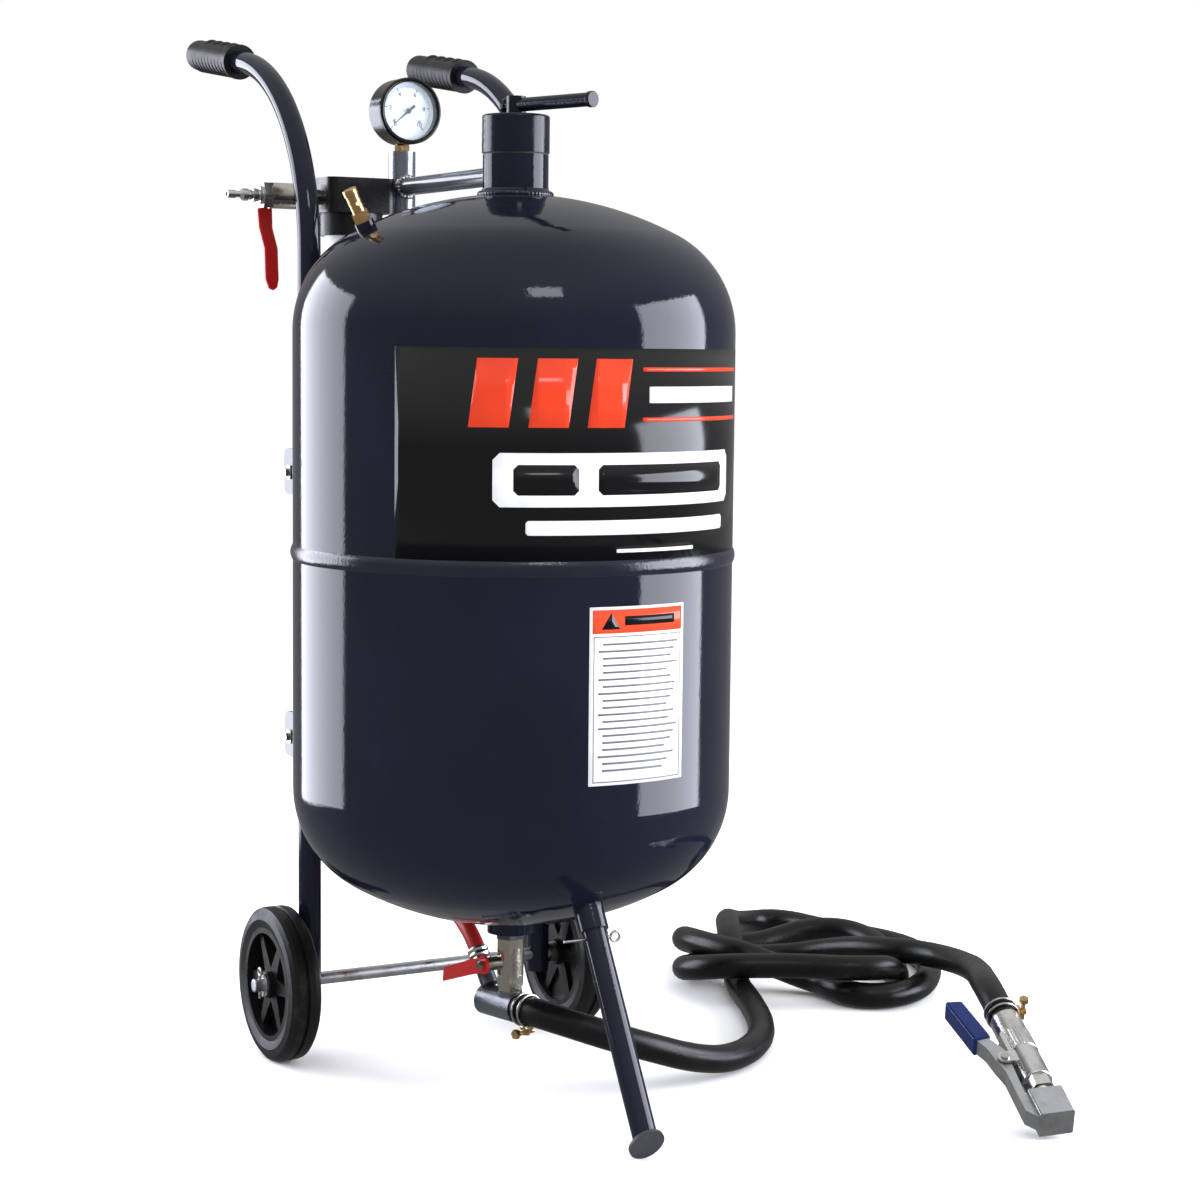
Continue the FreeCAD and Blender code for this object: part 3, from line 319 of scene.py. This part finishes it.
NAVY = (0.0055, 0.0067, 0.0133)
MAT = {
    "powder_coat": coated("powder_coat", NAVY, rough=0.06, coat=0.0, specular=0.3),
    "cap_coat": coated("cap_coat", tone(NAVY, 0.8), rough=0.16, coat=0.0, peel=0.12, specular=0.32),
    "weld_coat": coated("weld_coat", tone(NAVY, 1.1), rough=0.14, coat=0.0, peel=0.3),
    "crossover_grey": coated("crossover_grey", (0.05, 0.054, 0.066), rough=0.22, coat=0.2),
    "gasket_rubber": moulded("gasket_rubber", (0.02, 0.02, 0.02), 0.6),
    "axle_steel": metal("axle_steel", (0.6, 0.61, 0.63), 0.32, (20.0, 300.0, 300.0), 0.3,
                        stain=(0.2, 0.15, 0.11)),
    "zinc": metal("zinc", (0.6, 0.6, 0.58), 0.28, (200.0, 200.0, 200.0), 0.2, stain=(0.45, 0.42, 0.3)),
    "foot_steel": coated("foot_steel", (0.03, 0.032, 0.036), 0.4, 0.0, 0.2, worn=(0.12, 0.12, 0.12)),
    "black_iron": metal("black_iron", (0.12, 0.12, 0.13), 0.45, cast=0.35),
    "nickel": metal("nickel", (0.62, 0.58, 0.5), 0.2, (90.0, 90.0, 90.0), 0.12, cast=0.1,
                    stain=(0.4, 0.34, 0.24)),
    "lever_red": coated("lever_red", (0.32, 0.009, 0.008), 0.2, 0.0, 0.12, specular=0.4),
    "tee_grey": coated("tee_grey", (0.13, 0.14, 0.16), 0.32, 0.2, 0.3, metallic=0.75),
    "hose_black": moulded("hose_black", (0.0035, 0.0035, 0.004), 0.3, 0.2, 600.0, 0.08, specular=0.26),
    "holder_steel": metal("holder_steel", (0.8, 0.79, 0.77), 0.2, (120.0, 120.0, 120.0), 0.16,
                          stain=(0.35, 0.32, 0.27)),
    "ceramic": moulded("ceramic", (0.7, 0.66, 0.58), 0.6, 0.25, 1400.0, 0.2, (0.5, 0.45, 0.38)),
    "deadman_metal": metal("deadman_metal", (0.6, 0.61, 0.63), 0.3, (160.0, 160.0, 160.0), 0.3,
                           cast=0.2, stain=(0.3, 0.29, 0.27)),
    "grip_blue": moulded("grip_blue", (0.001, 0.009, 0.07), 0.24, 0.1, 500.0, 0.08,
                         (0.02, 0.05, 0.2), 0.36),
    "air_red": moulded("air_red", (0.28, 0.012, 0.01), 0.3, 0.1, 500.0, 0.15, (0.34, 0.06, 0.05), 0.35),
    "manifold_grey": coated("manifold_grey", (0.22, 0.235, 0.27), 0.26, 0.2, 0.12, metallic=0.85),
    "weld_pale": metal("weld_pale", (0.42, 0.42, 0.43), 0.35, cast=0.4, stain=(0.2, 0.2, 0.22)),
    "brass": metal("brass", (0.72, 0.45, 0.19), 0.22, (200.0, 200.0, 200.0), 0.12,
                   stain=(0.4, 0.24, 0.09)),
    "gauge_black": coated("gauge_black", (0.004, 0.004, 0.0045), 0.14, 0.0, 0.1, specular=0.35),
    "gauge_face": printed("gauge_face", (0.74, 0.85, 0.97), 0.35),
    "gauge_glass": clear("gauge_glass", (0.95, 0.97, 1.0), 0.02, 0.05),
    "needle": coated("needle", (0.01, 0.01, 0.01), 0.5, 0.0),
    "filter_black": moulded("filter_black", (0.004, 0.004, 0.0045), 0.28, 0.15, specular=0.35),
    "bowl": clear("bowl", (0.86, 0.88, 0.9), 0.16, 0.62),
    "element": moulded("element", (0.75, 0.75, 0.72), 0.8, 0.6, 900.0, 0.05),
    "grip_foam": moulded("grip_foam", (0.004, 0.004, 0.0045), 0.4, 0.35, 700.0, 0.06, specular=0.24),
    "wheel": moulded("wheel", (0.004, 0.004, 0.0045), 0.3, 0.2, 700.0, 0.1, specular=0.28),
    "tyre": moulded("tyre", (0.004, 0.004, 0.0045), 0.4, 0.3, 600.0, 0.14, specular=0.24),
    "print_black": printed("print_black", (0.003, 0.003, 0.0035)),
    "print_red": printed("print_red", (0.56, 0.038, 0.012)),
    "print_white": printed("print_white", (0.66, 0.67, 0.69)),
    "print_orange": printed("print_orange", (0.6, 0.055, 0.02)),
    "print_grey": printed("print_grey", (0.12, 0.12, 0.13)),
}


def clamp_metal(name, origin, axis):
    """Steel wire near the hose's axis and brass for the screw and block further out."""
    wire_r = 0.0162
    screw_r = 0.0166
    s = Shader(name)
    offset = s.new("ShaderNodeVectorMath")
    offset.operation = "SUBTRACT"
    s.tree.links.new(s.place, offset.inputs[0])
    offset.inputs[1].default_value = origin
    across = s.new("ShaderNodeVectorMath")
    across.operation = "CROSS_PRODUCT"
    s.tree.links.new(offset.outputs["Vector"], across.inputs[0])
    across.inputs[1].default_value = axis.normalized()
    radius = s.new("ShaderNodeVectorMath")
    radius.operation = "LENGTH"
    s.tree.links.new(across.outputs["Vector"], radius.inputs[0])
    screw = s.remap(radius.outputs["Value"], wire_r, screw_r)
    base = s.mixed(screw, (0.62, 0.6, 0.55), (0.66, 0.44, 0.17))
    base = s.mixed(s.remap(s.noise(120.0, 6.0), 0.5, 0.75, 0.0, 0.6), base, (0.25, 0.18, 0.1))
    s.set(Base_Color=base, Metallic=1.0, Roughness=s.remap(s.noise(200.0), 0.3, 0.7, 0.16, 0.34),
          Normal=s.bump(s.noise(500.0), 0.1, 0.0004))
    return s.material


NODE_MATERIAL = {
    "powder_coat": ["tank_upper_shell", "tank_lower_shell", "filler_neck", "tube_brackets",
                    "leg_socket", "front_leg", "outlet_flange", "relief_bung",
                    "handle_tube_left", "handle_tube_right"],
    "weld_coat": ["girth_weld"],
    "cap_coat": ["filler_cap", "tommy_bar"],
    "gasket_rubber": ["cap_gasket", "nozzle_seal"],
    "axle_steel": ["axle", "axle_washers"],
    "zinc": ["bracket_bolts", "bracket_nuts", "cotter_pins", "leg_pin", "lever_pin"],
    "foot_steel": ["leg_foot"],
    "black_iron": ["outlet_bushing"],
    "nickel": ["media_valve_body", "inlet_valve_body", "inlet_valve_stem", "media_valve_stem",
               "tee_nipple"],
    "brass": ["gauge_fitting", "relief_valve", "relief_cap"],
    "tee_clamp": ["tee_hose_clamp"],
    "nozzle_clamp": ["nozzle_hose_clamp"],
    "holder_steel": ["nozzle_holder", "nozzle_nut", "quick_plug"],
    "lever_red": ["media_valve_lever", "inlet_valve_lever"],
    "tee_grey": ["mixing_tee"],
    "ceramic": ["ceramic_nozzle"],
    "deadman_metal": ["deadman_lever"],
    "grip_blue": ["lever_grip"],
    "air_red": ["air_hose"],
    "manifold_grey": ["manifold_pipe"],
    "crossover_grey": ["crossover_pipe"],
    "gauge_black": ["gauge_case"],
    "gauge_face": ["gauge_dial"],
    "gauge_glass": ["gauge_lens"],
    "needle": ["gauge_pointer"],
    "filter_black": ["filter_head", "filter_drain"],
    "bowl": ["filter_bowl"],
    "grip_foam": ["grip_left", "grip_right"],
    "wheel": ["wheel_left", "wheel_right"],
    "tyre": ["tyre_left", "tyre_right"],
}


# ---- blast hose --------------------------------------------------------------------
# Centre line of the CAD hose from the tee to the nozzle, in millimetres about the tank's axis.
HOSE_ROUTE_MM = [
    (3, -12, 77), (11, -44, 77), (33, -69, 70), (66, -84, 58), (106, -88, 44), (150, -82, 28),
    (195, -68, 17), (238, -43, 14), (275, -8, 14), (304, 36, 14), (328, 85, 14), (349, 135, 14),
    (368, 184, 14), (392, 230, 14), (408, 260, 31), (422, 290, 43), (442, 326, 43),
    (461, 360, 42), (487, 396, 33), (515, 429, 21), (546, 450, 14), (577, 448, 14),
    (595, 422, 14), (602, 387, 14), (612, 353, 14), (626, 320, 14), (638, 283, 14),
    (638, 241, 14), (624, 198, 14), (601, 158, 14), (573, 123, 14), (544, 96, 14),
    (512, 80, 14), (481, 79, 14), (459, 96, 14), (454, 126, 14), (457, 157, 14),
    (445, 182, 18), (418, 198, 30), (389, 214, 43), (375, 247, 44), (372, 287, 43),
    (382, 326, 37), (404, 355, 25), (434, 363, 15), (462, 353, 14), (490, 344, 14),
    (519, 342, 19), (550, 337, 26), (575, 321, 29), (593, 297, 28), (598, 265, 24),
    (593, 231, 18), (578, 195, 14), (560, 164, 14), (541, 136, 15), (522, 112, 27),
    (502, 95, 39), (478, 92, 42), (452, 104, 42), (429, 123, 42), (404, 141, 42),
    (379, 153, 42), (355, 165, 42), (335, 183, 39), (327, 210, 33), (333, 240, 26),
    (352, 269, 18), (381, 290, 14), (413, 300, 14), (444, 298, 14), (474, 288, 14),
    (498, 270, 17), (514, 244, 25), (523, 214, 33), (531, 180, 40), (542, 151, 43),
    (558, 125, 44), (565, 97, 45), (561, 62, 48), (548, 23, 53), (527, -17, 60),
    (503, -57, 67), (477, -96, 75), (450, -135, 82), (424, -174, 89), (402, -212, 90),
    (391, -248, 74),
]


def in_frame(point):
    """A point in millimetres about the tank's axis, in the row's frame."""
    return Vector((point[0] / 1000, point[1] / 1000 + TANK_Y, point[2] / 1000))


def blast_hose():
    """The hose as a cord in the CAD hose's place; the CAD hose itself is hidden."""
    route = [in_frame(p) for p in HOSE_ROUTE_MM]
    hose = curve_line("blast_hose_line", route, HOSE_R, MAT["hose_black"])
    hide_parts("blast_hose")
    return route


hose_route = blast_hose()


# ---- finishes on the CAD nodes -----------------------------------------------------
def paint_nodes():
    for key, names in NODE_MATERIAL.items():
        for name in names:
            for slot in NODES[name].material_slots:
                slot.link = "OBJECT"
                slot.material = MAT[key]


nozzle_axis = (hose_route[-1] - hose_route[-2]).normalized()
MAT["tee_clamp"] = clamp_metal("tee_clamp", hose_route[0], hose_route[1] - hose_route[0])
MAT["nozzle_clamp"] = clamp_metal("nozzle_clamp", hose_route[-1], nozzle_axis)
paint_nodes()


# ---- printed panels on the shell ---------------------------------------------------
# How far each layer of print stands off the shell, in metres.
SHEET_LIFT = 0.00005
PRINT_LIFT = 0.00018
TOP_LIFT = 0.00032
PRINT_THICKNESS = 0.00012
PRINT_STEP_DEGREES = 1.5


def wrapped(name, outline, lift, material):
    """Thin print on the shell; outline points are (degrees from the front, height in metres)."""
    radius = TANK_R + lift
    bm = bmesh.new()
    bm.faces.new([bm.verts.new((math.radians(a), 0, z)) for a, z in outline])
    low = min(a for a, _ in outline)
    high = max(a for a, _ in outline)
    cut = math.floor(low)
    while cut < high:
        cut += PRINT_STEP_DEGREES
        geometry = bm.verts[:] + bm.edges[:] + bm.faces[:]
        bmesh.ops.bisect_plane(bm, geom=geometry, plane_co=(math.radians(cut), 0, 0),
                               plane_no=(1, 0, 0))
    for vertex in bm.verts:
        angle = vertex.co.x
        vertex.co.x = radius * math.sin(angle)
        vertex.co.y = TANK_Y - radius * math.cos(angle)
    for face in bm.faces:
        face.smooth = True
        face.normal_update()
        middle = face.calc_center_median()
        outward = middle - Vector((0, TANK_Y, middle.z))
        if face.normal.dot(outward) < 0:
            face.normal_flip()
    mesh = bpy.data.meshes.new(name)
    bm.to_mesh(mesh)
    bm.free()
    solid = link(name, mesh, material).modifiers.new("thickness", "SOLIDIFY")
    solid.thickness = PRINT_THICKNESS
    solid.offset = 1.0


def rectangle(a0, a1, z0, z1, corner=0.0):
    """Outline between two angles and two heights, its corners cut by that many metres."""
    if not corner:
        return [(a0, z0), (a1, z0), (a1, z1), (a0, z1)]
    c = math.degrees(corner / TANK_R)
    return [(a0 + c, z0), (a1 - c, z0), (a1, z0 + corner), (a1, z1 - corner), (a1 - c, z1),
            (a0 + c, z1), (a0, z1 - corner), (a0, z0 + corner)]


def label_panel():
    """Black panel with plain coloured blocks and stripes."""
    wrapped("label_field", rectangle(-57, 57, 0.5126, 0.6941), SHEET_LIFT, MAT["print_black"])
    slant = 2.2
    for k, (a0, a1) in enumerate(((-38.0, -26.0), (-23.5, -11.5), (-9.0, 3.0))):
        outline = [(a0, 0.6265), (a1 - slant, 0.6265), (a1, 0.6850), (a0 + slant, 0.6850)]
        wrapped(f"label_red_block_{k}", outline, PRINT_LIFT, MAT["print_red"])
    for k, z in enumerate((0.6315, 0.6745)):
        wrapped(f"label_red_stripe_{k}", rectangle(6, 52, z, z + 0.0035), PRINT_LIFT, MAT["print_red"])
    wrapped("label_white_bar", rectangle(8, 49, 0.6475, 0.6615), PRINT_LIFT, MAT["print_white"])
    wrapped("label_white_pill", rectangle(-32, 43, 0.5590, 0.6050, 0.006), PRINT_LIFT,
            MAT["print_white"])
    for k, (a0, a1) in enumerate(((-27, -11), (-6, 38))):
        wrapped(f"label_dark_bar_{k}", rectangle(a0, a1, 0.5690, 0.5950, 0.004), TOP_LIFT,
                MAT["print_black"])
    wrapped("label_lower_bar", rectangle(-24, 39, 0.5350, 0.5475, 0.002), PRINT_LIFT,
            MAT["print_white"])
    wrapped("label_fine_bar", rectangle(-1, 24, 0.5195, 0.5225), PRINT_LIFT, MAT["print_white"])


def notice_sticker():
    """White notice: orange head, dark frame and rows of plain bars."""
    wrapped("notice_sheet", rectangle(-8, 20.5, 0.3180, 0.4730), SHEET_LIFT, MAT["print_white"])
    wrapped("notice_head", rectangle(-7.2, 19.7, 0.4500, 0.4705), PRINT_LIFT, MAT["print_orange"])
    left = -6.9
    right = 19.4
    low = 0.3205
    high = 0.4475
    line = 0.0008
    wide = math.degrees(line / TANK_R)
    for k, box in enumerate(((left, right, low, low + line), (left, right, high - line, high),
                             (left, left + wide, low, high), (right - wide, right, low, high))):
        wrapped(f"notice_frame_{k}", rectangle(*box), PRINT_LIFT, MAT["print_grey"])
    wrapped("notice_mark", [(-4.8, 0.4535), (0.2, 0.4535), (-2.3, 0.4675)], TOP_LIFT,
            MAT["print_black"])
    wrapped("notice_head_bar", rectangle(1.5, 17.0, 0.4565, 0.4645), TOP_LIFT, MAT["print_black"])
    first_row = 0.4415
    row_step = 0.0061
    row_height = 0.0017
    # 1.0 starts a new point further left; any other number is how much shorter the row ends.
    rows = [0.0, 1.0, 0.0, 0.0, 0.35, 1.0, 0.1, 1.0, 0.0, 0.5, 1.0, 0.1, 1.0, 0.0, 0.0, 0.6, 1.0,
            0.15, 0.7]
    for k, short in enumerate(rows):
        z = first_row - k * row_step
        starts = -5.6 if short == 1.0 else -4.4
        ends = 18.2 - 7.0 * (short % 1.0) - 1.1 * ((k * 7) % 3)
        wrapped(f"notice_line_{k}", rectangle(starts, ends, z - row_height, z), PRINT_LIFT,
                MAT["print_grey"])


label_panel()
notice_sticker()


# ---- welds -------------------------------------------------------------------------
def dome_z(radius):
    """Height of the dished head's surface at that distance from the tank's axis."""
    return DOME_BASE + math.sqrt(CROWN_R ** 2 - radius ** 2) - CROWN_DROP


def welds():
    """Beads at the foot of the neck and at both ends of the crossover pipe."""
    neck = ring(Vector((0, TANK_Y, dome_z(NECK_R) + 0.0008)), (0, 0, 1), NECK_R + 0.0016, 240)
    link("neck_weld", bead(neck, 0.0030), MAT["weld_coat"])
    crossover = Vector((0, MANIFOLD_Y - MANIFOLD_R + 0.001, CROSSOVER_Z))
    link("crossover_weld", bead(ring(crossover, (0, 1, 0), CROSSOVER_R + 0.001), 0.0024),
         MAT["weld_pale"])
    neck_side = Vector((0, TANK_Y + NECK_R - 0.0012, CROSSOVER_Z))
    link("crossover_neck_weld", bead(ring(neck_side, (0, 1, 0), CROSSOVER_R + 0.001), 0.0024),
         MAT["weld_coat"])


welds()


# ---- gauge -------------------------------------------------------------------------
GAUGE_CENTRE = Vector((0, GAUGE_FACE_Y, GAUGE_Z))
DIAL_START = 225
DIAL_SWEEP = 270


def dial_direction(share):
    """Unit vector on the dial for a share of the scale, clockwise from its low end."""
    angle = math.radians(DIAL_START - DIAL_SWEEP * share)
    return Vector((math.cos(angle), 0, math.sin(angle)))


def gauge_bezel():
    front = around(Vector((0, GAUGE_RIM_Y, GAUGE_Z)), (0, -1, 0))
    profile = [(0.0285, -0.003), (0.0290, 0.0006), (0.0312, 0.0012), (0.0325, 0.0002),
               (0.0327, -0.004), (0.0322, -0.006), (0.0300, -0.0062)]
    link("gauge_bezel", turned(profile, front, 96), MAT["gauge_black"])


def gauge_marks():
    """Scale of fifty steps, with longer marks at each fifth and tenth."""
    outer = 0.0250
    lift = Vector((0, -0.0002, 0))

    def make(bm):
        for k in range(51):
            length = 0.0036 if k % 10 == 0 else (0.0026 if k % 5 == 0 else 0.0016)
            width = 0.0008 if k % 10 == 0 else 0.0004
            out = dial_direction(k / 50)
            side = Vector((-out.z, 0, out.x)) * width / 2
            corners = [out * (outer - length) - side, out * outer - side, out * outer + side,
                       out * (outer - length) + side]
            face = bm.faces.new([bm.verts.new(GAUGE_CENTRE + corner + lift) for corner in corners])
            face.normal_update()
    marks = link("gauge_marks", mesh_from(make, smooth=False), MAT["needle"])
    marks.modifiers.new("thickness", "SOLIDIFY").thickness = 0.0001


def gauge_numbers():
    """Plain dial numbers 0 to 10."""
    for k in range(6):
        text = bpy.data.curves.new(f"gauge_number_{k}", "FONT")
        text.body = str(k * 2)
        text.size = 0.0062
        text.align_x = "CENTER"
        text.align_y = "CENTER"
        text.extrude = 0.00005
        text.materials.append(MAT["needle"])
        number = bpy.data.objects.new(f"gauge_number_{k}", text)
        bpy.context.scene.collection.objects.link(number)
        spot = GAUGE_CENTRE + dial_direction(k / 5) * 0.0182 + Vector((0, -0.0003, 0))
        number.matrix_world = Matrix.Translation(spot) @ Matrix.Rotation(math.pi / 2, 4, "X")
        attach(number, "frame")


def gauge_screws():
    head = [(0.0, 0.0), (0.0016, 0.0), (0.0015, 0.0007), (0.0008, 0.0010), (0.0, 0.0011)]
    for k, x in enumerate((-0.0135, 0.0135)):
        place = around(GAUGE_CENTRE + Vector((x, -0.0001, -0.0095)), (0, -1, 0))
        link(f"gauge_screw_{k}", turned(head, place, 24), MAT["zinc"])


gauge_bezel()
gauge_marks()
gauge_numbers()
gauge_screws()


# ---- air hose ferrules and grips ---------------------------------------------------
def ferrule(name, centre, axis, outer, length):
    """Crimped sleeve over an end of the air hose."""
    inner = 0.0081
    profile = [(inner, -length / 2), (outer * 0.97, -length / 2), (outer, -length * 0.36),
               (outer, -length * 0.22), (outer * 0.9, -length * 0.16), (outer * 0.9, -length * 0.06),
               (outer, 0.0), (outer, length * 0.1), (outer * 0.9, length * 0.16),
               (outer * 0.9, length * 0.26), (outer, length * 0.32), (outer, length * 0.42),
               (outer * 0.95, length / 2), (inner, length / 2)]
    link(name, turned(profile, around(centre, axis)), MAT["holder_steel"])


def air_hose_ferrules():
    ferrule("air_hose_ferrule_top", in_frame((0, 250, 672)), (0, 0, 1), 0.0104, 0.024)
    low = in_frame((-9, 38, 106))
    axis = (in_frame((-11, 60, 134)) - low).normalized()
    ferrule("air_hose_ferrule_low", low + axis * 0.012, axis, 0.0102, 0.016)


def grip_ribs():
    """Finger ribs that stand out of the underside of each handle grip."""
    turn_cos = math.cos(HANDLE_TURN)
    turn_sin = math.sin(HANDLE_TURN)
    along = Vector((0, turn_sin, turn_cos))
    under = Vector((0, turn_cos, -turn_sin))
    bend_end = Vector((0, HANDLE_BEND_Y + HANDLE_BEND_R * (1 - turn_cos),
                       HANDLE_BEND_Z + HANDLE_BEND_R * turn_sin))
    first = 0.030
    pitch = 0.0095
    drop = 0.0011
    profile = [(0.0145, -0.0026), (0.0155, -0.0018), (0.0159, 0.0), (0.0155, 0.0018),
               (0.0145, 0.0026)]
    for side, name in ((-1, "left"), (1, "right")):
        for k in range(10):
            centre = bend_end + along * (first + k * pitch) + under * drop
            centre.x = side * HANDLE_X
            link(f"grip_rib_{name}_{k}", turned(profile, around(centre, along)),
                 MAT["grip_foam"])


air_hose_ferrules()
grip_ribs()


# ---- nozzle ------------------------------------------------------------------------
def nozzle_knurl():
    """Knurled band round the nozzle holder."""
    place = around(hose_route[-1], nozzle_axis)
    steps = 160
    holder_r = 0.0143
    band_height = 0.0007
    tooth_height = 0.0003
    # (distance from the hose's end, share of the band's full height)
    sections = [(0.026, 0.0), (0.0262, 0.6), (0.0275, 1.0), (0.0505, 1.0), (0.0518, 0.6),
                (0.052, 0.0)]

    def make(bm):
        loops = []
        for height, fullness in sections:
            loop = []
            for k in range(steps):
                a = 2 * math.pi * k / steps
                tooth = tooth_height if k % 4 in (1, 2) else 0.0
                r = holder_r + (band_height + tooth) * fullness
                loop.append(place @ Vector((r * math.cos(a), r * math.sin(a), height)))
            loops.append(loop)
        bridge(bm, loops, capped=True)
    link("nozzle_knurl", mesh_from(make, smooth=False), MAT["holder_steel"])


nozzle_knurl()


# ---- filter element ----------------------------------------------------------------
def filter_element():
    """The pale sleeve that shows through the filter's bowl."""
    place = around(Vector((-0.055, MANIFOLD_Y, 0.0)), (0, 0, 1))
    profile = [(0.004, 0.752), (0.0125, 0.752), (0.0135, 0.754), (0.0135, 0.790), (0.004, 0.790)]
    link("filter_element", turned(profile, place), MAT["element"])


filter_element()


# ---- studio ------------------------------------------------------------------------
def studio_floor():
    """Pale floor that takes shadows; glossy pieces don't mirror it."""
    half = 12

    def make(bm):
        corners = [(-half, -half), (half, -half), (half, half), (-half, half)]
        bm.faces.new([bm.verts.new((x, y, 0)) for x, y in corners])
    mesh = mesh_from(make, smooth=False)
    floor = bpy.data.objects.new("floor", mesh)
    bpy.context.scene.collection.objects.link(floor)
    paint = Shader("floor_paint")
    base = paint.mixed(paint.noise(3.0), (0.86, 0.86, 0.87), (0.9, 0.9, 0.9))
    paint.set(Base_Color=base, Roughness=0.6, Specular_IOR_Level=0.2)
    mesh.materials.append(paint.material)
    floor.visible_glossy = False


def studio_world():
    """White to the camera; to everything else a glow that grows from the horizon to the zenith."""
    world = bpy.data.worlds.new("studio")
    world.use_nodes = True
    bpy.context.scene.world = world
    tree = world.node_tree
    background = tree.nodes["Background"]
    path = tree.nodes.new("ShaderNodeLightPath")
    direction = tree.nodes.new("ShaderNodeTexCoord")
    height = tree.nodes.new("ShaderNodeSeparateXYZ")
    tree.links.new(direction.outputs["Generated"], height.inputs["Vector"])
    glow = tree.nodes.new("ShaderNodeMapRange")
    glow.interpolation_type = "SMOOTHSTEP"
    glow.inputs["From Max"].default_value = 0.9
    glow.inputs["To Min"].default_value = 0.24
    glow.inputs["To Max"].default_value = 0.7
    tree.links.new(height.outputs["Z"], glow.inputs["Value"])
    strength = tree.nodes.new("ShaderNodeMapRange")
    strength.inputs["To Max"].default_value = 1.0
    tree.links.new(glow.outputs["Result"], strength.inputs["To Min"])
    tree.links.new(path.outputs["Is Camera Ray"], strength.inputs["Value"])
    tree.links.new(strength.outputs["Result"], background.inputs["Strength"])
    background.inputs["Color"].default_value = (1.0, 1.0, 1.0, 1.0)


def lamp(name, light, toward):
    """Lamp object that shines along -toward."""
    holder = bpy.data.objects.new(name, light)
    bpy.context.scene.collection.objects.link(holder)
    holder.rotation_euler = (-Vector(toward)).to_track_quat("-Z", "Y").to_euler()
    return holder


def sun(name, power, spread, toward):
    """Broad sun that lights the shapes and shows in no highlight."""
    light = bpy.data.lights.new(name, "SUN")
    light.energy = power
    light.angle = math.radians(spread)
    lamp(name, light, toward).visible_glossy = False


def softbox(name, offset, width, height, power):
    """Box light whose mirror image is a clean highlight on the shell."""
    light = bpy.data.lights.new(name, "AREA")
    light.shape = "RECTANGLE"
    light.size = width
    light.size_y = height
    light.energy = power
    light.color = (0.86, 0.89, 1.0)
    tank_middle = Vector((0.0, TANK_Y, 0.5))
    lamp(name, light, offset).location = tank_middle + offset


def studio_lights():
    """Lights placed by the camera's right and its line of sight."""
    right = Vector((math.cos(CAMERA_HEADING), math.sin(CAMERA_HEADING), 0))
    ahead = Vector((-math.sin(CAMERA_HEADING), math.cos(CAMERA_HEADING), 0))
    up = Vector((0, 0, 1))
    sun("overhead", 2.5, 176, up)
    sun("front_fill", 0.9, 150, -ahead - right * 0.5 + up * 0.45)
    softbox("left_box", right * -1.85 + ahead * 0.80 + up * 0.2, 1.7, 1.7, 62.0)
    softbox("right_box", right * 2.1 + up * 0.2, 1.75, 1.7, 90.0)
    softbox("top_box", right * 0.5 - ahead * 1.5 + up * 1.35, 0.5, 0.3, 4.0)


bpy.context.scene.view_settings.view_transform = "Standard"
studio_floor()
studio_world()
studio_lights()
